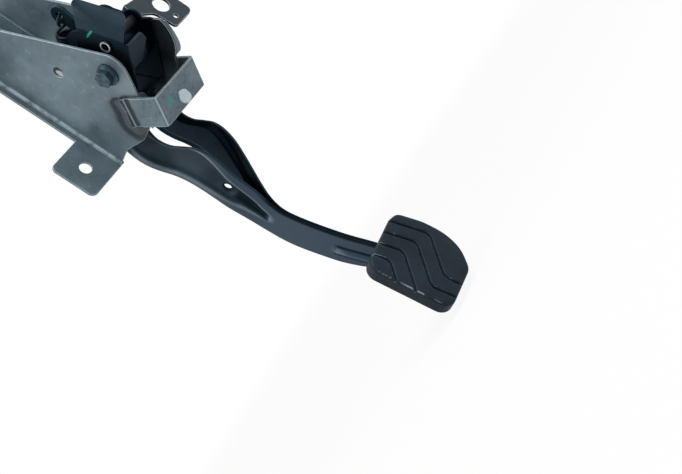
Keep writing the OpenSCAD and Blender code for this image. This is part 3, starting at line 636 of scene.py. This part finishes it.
# %% Rows of the pressing: rear y, rear z, front y, front z, half width, dish, borders, curl
FORK = 17.0
SHEET = 2.0
STATIONS = np.array([
    (15, -25.5, 33, 6, FORK, 0, 9, 9, 0),
    (23, -29, 49, -8, FORK, 0, 9, 9, 0),
    (31, -36.5, 61, -24, FORK, 0.6, 6, 7, 0.4),
    (34.5, -45, 64.5, -37, FORK, 1, 3.5, 6, 0.6),
    (33, -54, 63.5, -48, FORK, 1, 2.5, 6, 0.7),
    (27.5, -61.5, 60.5, -57, 16.7, 1, 2.5, 6, 0.7),
    (22.6, -68.5, 57.8, -66, 15.6, 1, 3.5, 6, 0.7),
    (20.8, -77, 57, -76, 14.2, 1, 6, 6, 0.7),
    (22.8, -87, 57.9, -87, 12.8, 1, 8.5, 6, 0.7),
    (27.4, -97, 60.2, -98, 11.1, 0.9, 10, 6.5, 0.7),
    (31.9, -107.5, 64, -108.5, 8.2, 0.75, 10.5, 7.5, 0.5),
    (36.5, -118.5, 67.3, -119.5, 5, 0.5, 10.5, 9.5, 0.3),
    (41, -129.5, 68.9, -131, 3, 0.1, 10, 10, 0.1),
    (42.8, -140, 69, -142, 2.2, 0, 11, 10, 0),
    (41.1, -150, 67.8, -154, 2, 0, 11, 10, 0),
    (37.6, -161, 64.7, -166, 2, 0, 11, 10, 0),
    (32.7, -174, 59.3, -180, 2, 0, 11, 10, 0),
    (26.6, -188, 52.6, -195, 2, 0, 11, 10, 0),
    (19.2, -202, 44.2, -208, 2, 0, 11, 10, 0),
    (15.23, -210.67, 39, -214, 2, 0, 11, 10, 0),
    (13.32, -221.5, 33, -223, 2, 0, 11, 10, 0),
    (11.41, -232.3, 26, -232, 2, 0, 11, 10, 0),
    (9.85, -241.2, 17, -241.5, 2, 0, 11, 10, 0),
], float)


def smooth_rows(stations, steps):
    """Rows on a smooth curve through the stations."""
    rows = []
    last = len(stations) - 1
    for i in range(last):
        a, b, c, d = (stations[min(max(k, 0), last)] for k in (i - 1, i, i + 1, i + 2))
        for t in np.arange(steps) / steps:
            rows.append(0.5 * (
                2 * b + (c - a) * t + (2 * a - 5 * b + 4 * c - d) * t ** 2
                + (3 * b - a - 3 * c + d) * t ** 3
            ))
    return np.array(rows + [stations[-1]])


rows = smooth_rows(STATIONS, 7)
print("rows down the pressing:", len(rows))


# %% How deep the sheet is pressed
DISH, GROOVE, RIB = 3.0, 1.6, 1.8
RIB_MIDDLE = 15.4


def ease(t):
    u = np.clip(t, 0, 1)
    return u * u * (3 - 2 * u)


def groove_share(row, from_rear, from_front):
    length = ease((-row[1] - 104) / 6) * ease((136 + row[1]) / 4)
    return length * ease((from_rear - 10.2) / 2.2) * ease((from_front - 9.3) / 2.4)


def rib_ends(row):
    return ease((-row[1] - 181) / 3) * ease((228 + row[1]) / 8)


def pressed(row, from_rear, from_front):
    """How far the outer face lies inside the flat of the leg."""
    dish = DISH * row[5] * ease((from_rear - row[6] + 3) / 5) * ease((from_front - row[7] + 1) / 4)
    curl = row[8] * np.maximum(1 - from_front / (row[7] - 1), 0) ** 2
    rib = RIB * rib_ends(row) * ease(1 - np.abs(from_rear - RIB_MIDDLE) / 4.6)
    return dish + curl + GROOVE * groove_share(row, from_rear, from_front) - rib


def section(row, front_move, columns=46, turns=5):
    """One closed ring of points: outer face, rounded front edge, inner face, rounded rear edge."""
    opening = ease((row[4] - SHEET) / 8) * ease((-row[1] - 26) / 12)
    rear = row[0:2]
    front = row[2:4] + (front_move * opening, 0)
    wide = np.linalg.norm(front - rear)
    half = SHEET / 2
    share = np.linspace(half, wide - half, columns + 1)
    outer = max(row[4], SHEET) - pressed(row, share, wide - share)
    inner = np.maximum(outer - SHEET, 0.0)
    turn = np.radians(np.linspace(90, -90, turns + 2)[1:-1])
    lips = []
    for end, way in ((-1, 1), (0, -1)):
        middle, thick = (outer[end] + inner[end]) / 2, (outer[end] - inner[end]) / 2
        lips.append((share[end] + way * half * np.cos(turn), middle + way * thick * np.sin(turn)))
    across = np.concatenate([share, lips[0][0], share[::-1], lips[1][0]])
    out = np.concatenate([outer, lips[0][1], inner[::-1], lips[1][1]])
    along_row = rear + np.outer(across / wide, front - rear)
    return np.column_stack([out, along_row])


# %% How much painted light or shade each point of the sheet gets
def painted_light_of(rings, columns=46, reach=4):
    """Crests stand out of the mean of their surroundings, and the dish lies below the flat. Crests get a painted
    highlight and hollows get painted shade.
    """
    outer = np.array([ring[:columns + 1, 0] for ring in rings])
    depth = np.maximum(rows[:, 4], SHEET)[:, None] - outer
    wide = np.pad(depth, reach, mode="edge")
    steps = range(2 * reach + 1)
    around = sum(wide[i:i + outer.shape[0], j:j + outer.shape[1]] for i in steps for j in steps)
    stands_out = around / len(steps) ** 2 - depth
    outside = 0.4 - 0.4 * ease(depth / 2.0) + np.linspace(0.8, 1.0, columns + 1) * np.clip(stands_out, -0.03, 0.6)
    for row, values in zip(rows, outside):
        wide = np.linalg.norm(row[2:4] - row[0:2])
        share = np.linspace(1, wide - 1, columns + 1)
        flank = ease(1 - np.abs(np.abs(share - RIB_MIDDLE) - 4.0) / 1.6)
        # Painted shade in the groove, along the rib's sides and a little on its top, and along the rear edge of
        # the single leg.
        values -= 0.42 * groove_share(row, share, wide - share) + 0.9 * rib_ends(row) * flank
        values -= 0.22 * rib_ends(row) * ease(1 - np.abs(share - RIB_MIDDLE) / 3.2)
        values -= 0.85 * ease((-row[1] - 118) / 14) * ease((3.2 - share) / 1.6)
    # The front lip and the end rows keep painted shade at -0.5.
    painted_light = np.full((len(rings), len(rings[0])), -0.5)
    turns = (len(rings[0]) - 2 * (columns + 1)) // 2
    inside = columns + 1 + turns
    painted_light[:, :columns + 1] = outside
    # Painted shade on the inner face, and on the rear lip, which grows darker down the single leg.
    painted_light[:, inside:inside + columns + 1] = -0.6
    painted_light[:, -turns:] = (0.10 - 0.60 * ease((-rows[:, 1] - 118) / 14))[:, None]
    return painted_light.ravel()


# %% Loft the sheet
def loft(name, rings, side):
    count, size = len(rings), len(rings[0])
    points = np.concatenate(rings) * (side, 1, 1)
    faces = [
        (i * size + j, i * size + (j + 1) % size, (i + 1) * size + (j + 1) % size, (i + 1) * size + j)
        for i in range(count - 1) for j in range(size)
    ]
    faces.append(tuple(range(size)))
    faces.append(tuple(range((count - 1) * size, count * size)))
    return mesh_of(name, points, faces)


def cut_head(node, side):
    """The model's own solid above the first row, where the sheet is flat."""
    mesh = nodes[node].data.copy()
    bm = bmesh.new()
    bm.from_mesh(mesh)
    start = PIVOT + Vector((0, *STATIONS[0][0:2])) * MM
    row = Vector((0, *(STATIONS[0][2:4] - STATIONS[0][0:2]))).normalized()
    away = Vector((side, 0, 0)).cross(row) * side
    bmesh.ops.bisect_plane(
        bm, geom=bm.verts[:] + bm.edges[:] + bm.faces[:], plane_co=start, plane_no=away * -1,
        clear_outer=True, dist=1e-6,
    )
    bm.to_mesh(mesh)
    bm.free()
    join_flat_faces(mesh)
    return mesh


def drill(piece, at_mm, radius_mm):
    """A round hole across the car, through a piece at y and z."""
    bm = bmesh.new()
    turned = Matrix.Translation(PIVOT + Vector((0, *at_mm)) * MM) @ Matrix.Rotation(math.pi / 2, 4, "Y")
    bmesh.ops.create_cone(
        bm, cap_ends=True, segments=40, radius1=radius_mm * MM, radius2=radius_mm * MM, depth=0.1,
        matrix=turned,
    )
    mesh = bpy.data.meshes.new("drill")
    bm.to_mesh(mesh)
    bm.free()
    cutter = add_object("drill", mesh)
    cut = piece.modifiers.new("cut", "BOOLEAN")
    cut.object = cutter
    depsgraph = bpy.context.evaluated_depsgraph_get()
    result = bpy.data.meshes.new_from_object(piece.evaluated_get(depsgraph))
    piece.modifiers.remove(cut)
    piece.data = result
    bpy.data.objects.remove(cutter)


for side, node, front_move in ((-1, "arm_left_shell", 0.9), (1, "arm_right_shell", -1.3)):
    rings = [section(row, front_move) for row in rows]
    leg = add_object(node + "_leg", loft(node + "_leg", rings, side))
    painted_light = leg.data.attributes.new("painted_light", "FLOAT", "POINT")
    painted_light.data.foreach_set("value", painted_light_of(rings))
    if side < 0:
        drill(leg, (45.4, -100.2), 3.0)
    stand_for(leg, node, black)
    head = add_object(node + "_head", cut_head(node, side))
    round_edges(head, 0.45)
    stand_for(head, node, black)
    print(node, "leg has", len(leg.data.polygons), "faces and head", len(head.data.polygons))


# %% [markdown]
# The right pressing carries a tab that comes to rest on the rubber stop. It stands in line with the
# strap's legs, so it is placed with the strap's own directions.

# %% The tab on the right pressing
def block(name, start_mm, sides_mm):
    """A block from one corner and its three sides, in millimetres from the pivot axis."""
    start = Vector(start_mm)
    a, b, c = (Vector(side) for side in sides_mm)
    points = [start + a * i + b * j + c * k for i in (0, 1) for j in (0, 1) for k in (0, 1)]
    faces = [(0, 1, 3, 2), (4, 6, 7, 5), (0, 4, 5, 1), (2, 3, 7, 6), (0, 2, 6, 4), (1, 5, 7, 3)]
    return add_object(name, mesh_of(name, points, faces))


STOP_LEG, STOP_ACROSS = 1.8, 9.0
tab_start = Vector(STRAP_START) + LEG * STOP_LEG + ACROSS * STOP_ACROSS + Vector((-4.0, 0, 0))
stop_tab = block("stop_tab", tab_start, (Vector((20.5, 0, 0)), LEG * 2.0, ACROSS * 9.0))
round_edges(stop_tab, 0.6, 3)
stand_for(stop_tab, "arm_right_shell", black)
print("stop tab stands at", tuple(round(c, 1) for c in tab_start))


# %% [markdown]
# ## The rubber pad
# The pad is moulded: a domed rim, a flat face and five wavy grooves with round bends, so that a wet
# shoe doesn't slip. Its outline is taken from the model's pad, looked at square on. Rings of that
# outline, moved in and out, give the body and the hollow that holds the steel plate. The body is
# then covered with an even net of small squares, into which the grooves are sunk.

# %% The pad's own directions: x across, y down the face, z out of it
LEAN = math.radians(10)
PAD_ORIGIN = PIVOT + Vector((-0.5, 6.0, -206.0)) * MM
PAD_TURN = Matrix((
    (1, 0, 0), (0, -math.sin(LEAN), -math.cos(LEAN)), (0, -math.cos(LEAN), math.sin(LEAN)),
)).transposed()


def hull(points):
    """The outline round a set of flat points."""
    ordered = sorted(map(tuple, points))

    def half(source):
        chain = []
        for p in source:
            while len(chain) > 1 and np.cross(
                np.subtract(chain[-1], chain[-2]), np.subtract(p, chain[-2])
            ) <= 0:
                chain.pop()
            chain.append(p)
        return chain[:-1]

    return np.array(half(ordered) + half(ordered[::-1]))


def even_steps(outline, count):
    """The closed outline again, with points at even steps."""
    closed = np.vstack([outline, outline[:1]])
    run = np.concatenate([[0], np.cumsum(np.linalg.norm(np.diff(closed, axis=0), axis=1))])
    marks = np.linspace(0, run[-1], count, endpoint=False)
    return np.column_stack([np.interp(marks, run, closed[:, k]) for k in (0, 1)])


pad_points = np.array([
    PAD_TURN.transposed() @ (v.co - PAD_ORIGIN) for v in nodes["pad_rubber"].data.vertices
]) / MM
outline = even_steps(hull(pad_points[:, :2]), 260)
thick = -pad_points[:, 2].min()
print("pad is", np.ptp(outline, axis=0).round(1), "mm, and", round(float(thick), 1), "mm thick")


# %% Rings of the pad, as inset and height
ROUND = 2.3
PLATE_BACK, PLATE_FRONT = 9.9, 7.5
turn = np.radians(np.linspace(0, 90, 6))
RINGS = [(24, -PLATE_FRONT), (2.6, -PLATE_FRONT), (2.6, -PLATE_BACK), (6, -PLATE_BACK), (6, -thick)]
RINGS += [(1.0, -thick), (0.3, 0.3 - thick), (0, 1.0 - thick)]
RINGS += [(ROUND * (1 - math.cos(a)), ROUND * (math.sin(a) - 1)) for a in turn]
RINGS += [(24, 0)]


def pad_body():
    middle = (outline.max(axis=0) + outline.min(axis=0)) / 2
    half = np.ptp(outline, axis=0) / 2
    rings = [
        np.column_stack([middle + (outline - middle) * (1 - inset / half), np.full(len(outline), height)])
        for inset, height in RINGS
    ]
    count = len(outline)
    faces = [
        (i * count + j, i * count + (j + 1) % count, (i + 1) * count + (j + 1) % count, (i + 1) * count + j)
        for i in range(len(rings) - 1) for j in range(count)
    ]
    faces += [tuple(range(count)), tuple(range((len(rings) - 1) * count, len(rings) * count))]
    mesh = bpy.data.meshes.new("pad_body")
    mesh.from_pydata(np.concatenate(rings).tolist(), [], faces)
    bm = bmesh.new()
    bm.from_mesh(mesh)
    bmesh.ops.recalc_face_normals(bm, faces=bm.faces)
    bm.to_mesh(mesh)
    bm.free()
    return mesh


def even_net(mesh, size, smoothing):
    """The same body covered with small squares of one size."""
    body = bpy.data.objects.new("body", mesh)
    bpy.context.scene.collection.objects.link(body)
    net = body.modifiers.new("net", "REMESH")
    net.mode = "VOXEL"
    net.voxel_size = size
    smooth = body.modifiers.new("smooth", "SMOOTH")
    smooth.iterations = smoothing
    depsgraph = bpy.context.evaluated_depsgraph_get()
    result = bpy.data.meshes.new_from_object(body.evaluated_get(depsgraph))
    bpy.data.objects.remove(body)
    return result


pad_net = even_net(pad_body(), 0.37, 3)
print("pad net has", len(pad_net.polygons), "faces")


# %% Grooves with round bends
GROOVE_WIDTH, GROOVE_DEPTH, SHOULDER = 1.5, 2.2, 0.7


def round_bends(corners_of, cut):
    """A line through its end points that rounds each corner over a distance on both sides."""
    line = [corners_of[0]]
    for before, corner, after in zip(corners_of, corners_of[1:], corners_of[2:]):
        start = corner + (before - corner) * cut / np.linalg.norm(before - corner)
        end = corner + (after - corner) * cut / np.linalg.norm(after - corner)
        for t in np.linspace(0, 1, 9):
            line.append((1 - t) ** 2 * start + 2 * t * (1 - t) * corner + t * t * end)
    return np.array(line + [corners_of[-1]])


def groove_line(i):
    x0, bend = 21.5 - 12.4 * i, 27 - 5.3 * i
    low = bend + 21.5
    points = [(x0 - 0.22 * (bend + 8), -8), (x0, bend), (x0 - 28.5, low), (x0 - 28.5 + 0.1 * (64 - low), 68)]
    return round_bends(np.array(points, float), 4.5)


def distance_to(line, points):
    nearest = np.full(len(points), 1e9)
    for a, b in zip(line, line[1:]):
        step = b - a
        share = np.clip((points - a) @ step / (step @ step), 0, 1)
        nearest = np.minimum(nearest, np.linalg.norm(points - a - share[:, None] * step, axis=1))
    return nearest


def sink_grooves(mesh):
    place = np.empty(len(mesh.vertices) * 3)
    mesh.vertices.foreach_get("co", place)
    place = place.reshape(-1, 3)
    top = place[:, 2] > -4.0
    flat = place[top, :2]
    away = np.min([distance_to(groove_line(i), flat) for i in range(5)], axis=0)
    floor = -GROOVE_DEPTH * ease((GROOVE_WIDTH / 2 + SHOULDER / 2 - away) / SHOULDER)
    height = place[top, 2]
    carved = np.minimum(height, floor) - 0.12 * ease((GROOVE_WIDTH / 2 + 1.6 - away) / 1.6)
    place[top, 2] = np.where(height > -GROOVE_DEPTH - 0.2, carved, height)
    return place


sunk = sink_grooves(pad_net)
world = [PAD_ORIGIN + PAD_TURN @ Vector(p) * MM for p in sunk]
pad_net.vertices.foreach_set("co", np.array(world).ravel())
pad_net.update()
pad = add_object("pad_rubber_skin", pad_net)
soft = pad.modifiers.new("soft", "SMOOTH")
soft.iterations = 2
stand_for(pad, "pad_rubber", rubber)
print("deepest groove", round(float(-sunk[:, 2][sunk[:, 2] > -4].min()), 2), "mm")


# %% [markdown]
# ## The return spring
# The spring is wound from dark oiled wire, with a hook at each end. The wire is swept along the
# same path as the model's spring with a rounder section and finer steps. One hook sits on the
# bracket and the other on the lever. Here the wire stays where it is, on neither body.

# %% Sweep the wire
SPRING_START = np.array((0.0, 62.0, 14.5))
SPRING_END = np.array((0.0, 2.5, 50.0))
WIRE, COIL_RADIUS, TURNS, HOOK = 2.2, 6.2, 18, 4.3


def spring_path(steps=20):
    length = np.linalg.norm(SPRING_END - SPRING_START)
    coil = TURNS * (WIRE + 0.12)
    lead = (length - coil) / 2
    hooks = np.radians(np.arange(-120, 181, 15))
    first = np.column_stack([HOOK * np.sin(hooks), 0 * hooks, HOOK - HOOK * np.cos(hooks)])
    angle = np.linspace(0, 2 * np.pi * TURNS, TURNS * steps + 1)
    turns = np.column_stack([
        COIL_RADIUS * np.sin(angle), COIL_RADIUS * np.cos(angle), lead + coil * angle / angle[-1]
    ])
    last = np.column_stack([first[::-1, 0], first[::-1, 1], length - first[::-1, 2]])
    rise = [[0, COIL_RADIUS * 0.55, lead - 2.4]]
    fall = [[0, COIL_RADIUS * 0.55, length - lead + 2.4]]
    local = np.concatenate([first, rise, turns, fall, last])
    along_z = (SPRING_END - SPRING_START) / length
    along_y = np.cross(along_z, (1, 0, 0))
    return SPRING_START + local @ np.array([(1, 0, 0), along_y, along_z])


def sweep(name, path, radii, sides=10):
    """A round tube along a path, with a radius at each point."""
    tangent = np.gradient(path, axis=0)
    tangent /= np.linalg.norm(tangent, axis=1)[:, None]
    across = np.cross(tangent, (0.3, 0.5, 0.8))
    across /= np.linalg.norm(across, axis=1)[:, None]
    other = np.cross(tangent, across)
    angle = np.linspace(0, 2 * np.pi, sides, endpoint=False)
    rings = [
        p + r * (np.outer(np.cos(angle), u) + np.outer(np.sin(angle), v))
        for p, r, u, v in zip(path, radii, across, other)
    ]
    return add_object(name, loft(name, rings, 1))


wire_line = spring_path()
spring = sweep("return_spring_wire", wire_line, np.full(len(wire_line), WIRE / 2))
coil_start, coil_end = (PIVOT + Vector(p) * MM for p in (wire_line[24], wire_line[-25]))
stand_for(spring, "return_spring", wire_steel, ("bracket", "pedal_arm", coil_start, coil_end))
print("spring wire runs through", len(wire_line), "points")


# %% [markdown]
# ## Weld beads on the strap
# A hand weld is a row of small puddles that each froze over the one before. A tube whose radius
# and line waver gives that. The two beads lie where the strap meets the outer faces of the plates.

# %% Lay the beads
def lay_bead(name, x, seed):
    rng = np.random.default_rng(seed)
    share = np.linspace(0, 1, 90)
    puddles = np.abs(np.sin(share * np.pi * 9 + rng.uniform(0, 3)))
    ends = np.sqrt(np.clip(1 - (2 * share - 1) ** 8, 0.02, 1))
    wander = np.interp(share, np.linspace(0, 1, 8), rng.normal(0, 0.25, 8))
    radii = (1.9 + 0.30 * puddles ** 0.7) * ends
    start = np.array(STRAP_START) + np.array(LEG) * -1.7
    path = start + np.outer(share * 22.0, np.array(ACROSS))
    path[:, 0] = x + wander * np.sign(x)
    path += np.outer(wander, np.array(LEG))
    bead = sweep(name, path, radii, 14)
    stand_for(bead, "guard_strap", weld_steel)
    return bead


for name, x, seed in (("weld_left", -23.3, 5), ("weld_right", 23.3, 8)):
    lay_bead(name, x, seed)
print("two weld beads laid")


# %% [markdown]
# ## The pivot bolt
# The bolt's head is a hexagon on a round flange, forged in one piece: its six corners are turned
# off at the top, and its flange slopes. The model's bolt has those forms. Seen beside the
# photograph its head is a little wide, so it is drawn in towards the shank, which stays as it is.

# %% Dress the bolt
HEAD_SHARE = 0.80
SHANK_RADIUS = 4.1


def draw_in_head(bolt):
    """Every point of the head moves towards the bolt's axis, down to the shank at most."""
    for vertex in bolt.data.vertices:
        y, z = vertex.co.y - PIVOT.y, vertex.co.z - PIVOT.z
        radius = math.hypot(y, z)
        if vertex.co.x < -0.0215 and radius > SHANK_RADIUS * MM:
            share = max(HEAD_SHARE, SHANK_RADIUS * MM / radius)
            vertex.co.y, vertex.co.z = PIVOT.y + y * share, PIVOT.z + z * share


bolt = soften("pivot_bolt", dark_steel, 0.3)
draw_in_head(bolt)
print("bolt has", len(bolt.data.polygons), "faces")


# %% [markdown]
# ## The stop's button
# The rubber stop is pulled through a hole in the strap, and its pale button spreads on the outside.
# The photograph shows a soft, uneven outline, so a disc is drawn with a wavering radius and a
# domed edge, lying on the strap's outer face.

# %% The button
STRAP_FACE = 28.2
BUTTON = (0.4, 15.6)
BUTTON_LONG, BUTTON_WIDE = 6.6, 4.6


def flatten_tip(bumper):
    """The model's own tip is drawn back into the strap, under the new button."""
    start = PIVOT + Vector(STRAP_START) * MM
    for vertex in bumper.data.vertices:
        past = (vertex.co - start).dot(LEG) - (STRAP_FACE - 0.3) * MM
        if past > 0:
            vertex.co -= LEG * past


def button(name, rim=48):
    x, across = BUTTON
    middle = np.array(STRAP_START) + np.array(LEG) * STRAP_FACE + np.array(ACROSS) * across + (x, 0, 0)
    long_way = (np.array(ACROSS) + (1, 0, 0)) / math.sqrt(2)
    short_way = (np.array(ACROSS) - (1, 0, 0)) / math.sqrt(2)
    angle = np.linspace(0, 2 * np.pi, rim, endpoint=False)
    waver = 1 + 0.030 * np.cos(3 * angle + 0.6) + 0.035 * np.cos(5 * angle + 1.9)
    rings = []
    for share, height in ((1.0, -0.3), (1.0, 0.6), (0.94, 1.1), (0.78, 1.4), (0.4, 1.55), (0.05, 1.6)):
        flat = np.outer(np.cos(angle) * waver * BUTTON_LONG * share, long_way)
        flat += np.outer(np.sin(angle) * waver * BUTTON_WIDE * share, short_way)
        rings.append(middle + flat + np.array(LEG) * height)
    return add_object(name, loft(name, rings, 1))


flatten_tip(bpy.data.objects["stop_bumper_skin"])
stand_for(button("stop_button"), "stop_bumper", stop_rubber)
print("the button is at", BUTTON)


# %% [markdown]
# ## Light, floor and background
# The photograph is lit softly from its upper edge, on white. A large lamp stands there, weaker ones
# fill the shadows, and the floor and the world turn white only for the camera and for reflections,
# so the object itself is lit by a plain, weak level of light.

# %% Lamps
CENTRE = Vector((0.0, -0.04, -0.12))
TOWARD_CAMERA = CAMERA_RIGHT.cross(CAMERA_UP).normalized()


def add_lamp(name, right, up, toward, power, size):
    data = bpy.data.lights.new(name, "AREA")
    data.energy = power
    data.size = size
    lamp = bpy.data.objects.new(name, data)
    bpy.context.scene.collection.objects.link(lamp)
    lamp.location = CENTRE + CAMERA_RIGHT * right + CAMERA_UP * up + TOWARD_CAMERA * toward
    lamp.rotation_euler = (CENTRE - lamp.location).to_track_quat("-Z", "Y").to_euler()
    return lamp


add_lamp("key", -0.45, 1.0, 0.6, 13.5, 0.9)
add_lamp("table", -0.75, -0.85, -0.40, 2.5, 1.0)
add_lamp("side", -1.1, 0.1, 0.5, 6, 0.8)


# %% Floor and world
FLOOR_SIZE = 8.0
FLOOR_BELOW = 0.004


def seen_directly(f):
    """1 for rays from the camera and for reflections, and 0 for the light that falls on things."""
    camera_ray, glossy, through = (f.node("LightPath", output=i) for i in (0, 3, 6))
    return camera_ray.math("MAXIMUM", camera_ray.math("MAXIMUM", camera_ray, glossy), through)


def make_floor():
    f = Finish("pale_floor")
    pale = f.node("BsdfDiffuse", Color=(0.86, 0.86, 0.86, 1.0))
    white = f.node("Emission", Color=(1, 1, 1, 1), Strength=1.0)
    far = f.node("VectorMath", {"operation": "LENGTH"}, output=1, i0=where(f))
    share = 0.90 + band(f, far, 0.5, 1.1) * 0.10
    f.close(f.node("MixShader", i0=seen_directly(f) * share, i1=pale, i2=white))
    bm = bmesh.new()
    bmesh.ops.create_grid(bm, x_segments=1, y_segments=1, size=FLOOR_SIZE)
    mesh = bpy.data.meshes.new("floor")
    bm.to_mesh(mesh)
    bm.free()
    mesh.materials.append(f.owner)
    floor = bpy.data.objects.new("floor", mesh)
    bpy.context.scene.collection.objects.link(floor)
    floor.location = (0, 0, cad_box[0][2] - FLOOR_BELOW)
    return floor


def make_world():
    world = bpy.data.worlds.new("studio")
    bpy.context.scene.world = world
    f = Finish("studio", world)
    level = 0.20 + seen_directly(f) * 0.80
    f.close(f.node("Background", Color=(1, 1, 1, 1), Strength=level), "World")


make_floor()
make_world()
bpy.context.scene.view_settings.view_transform = "Standard"
print("floor at", round(cad_box[0][2] - FLOOR_BELOW, 4))
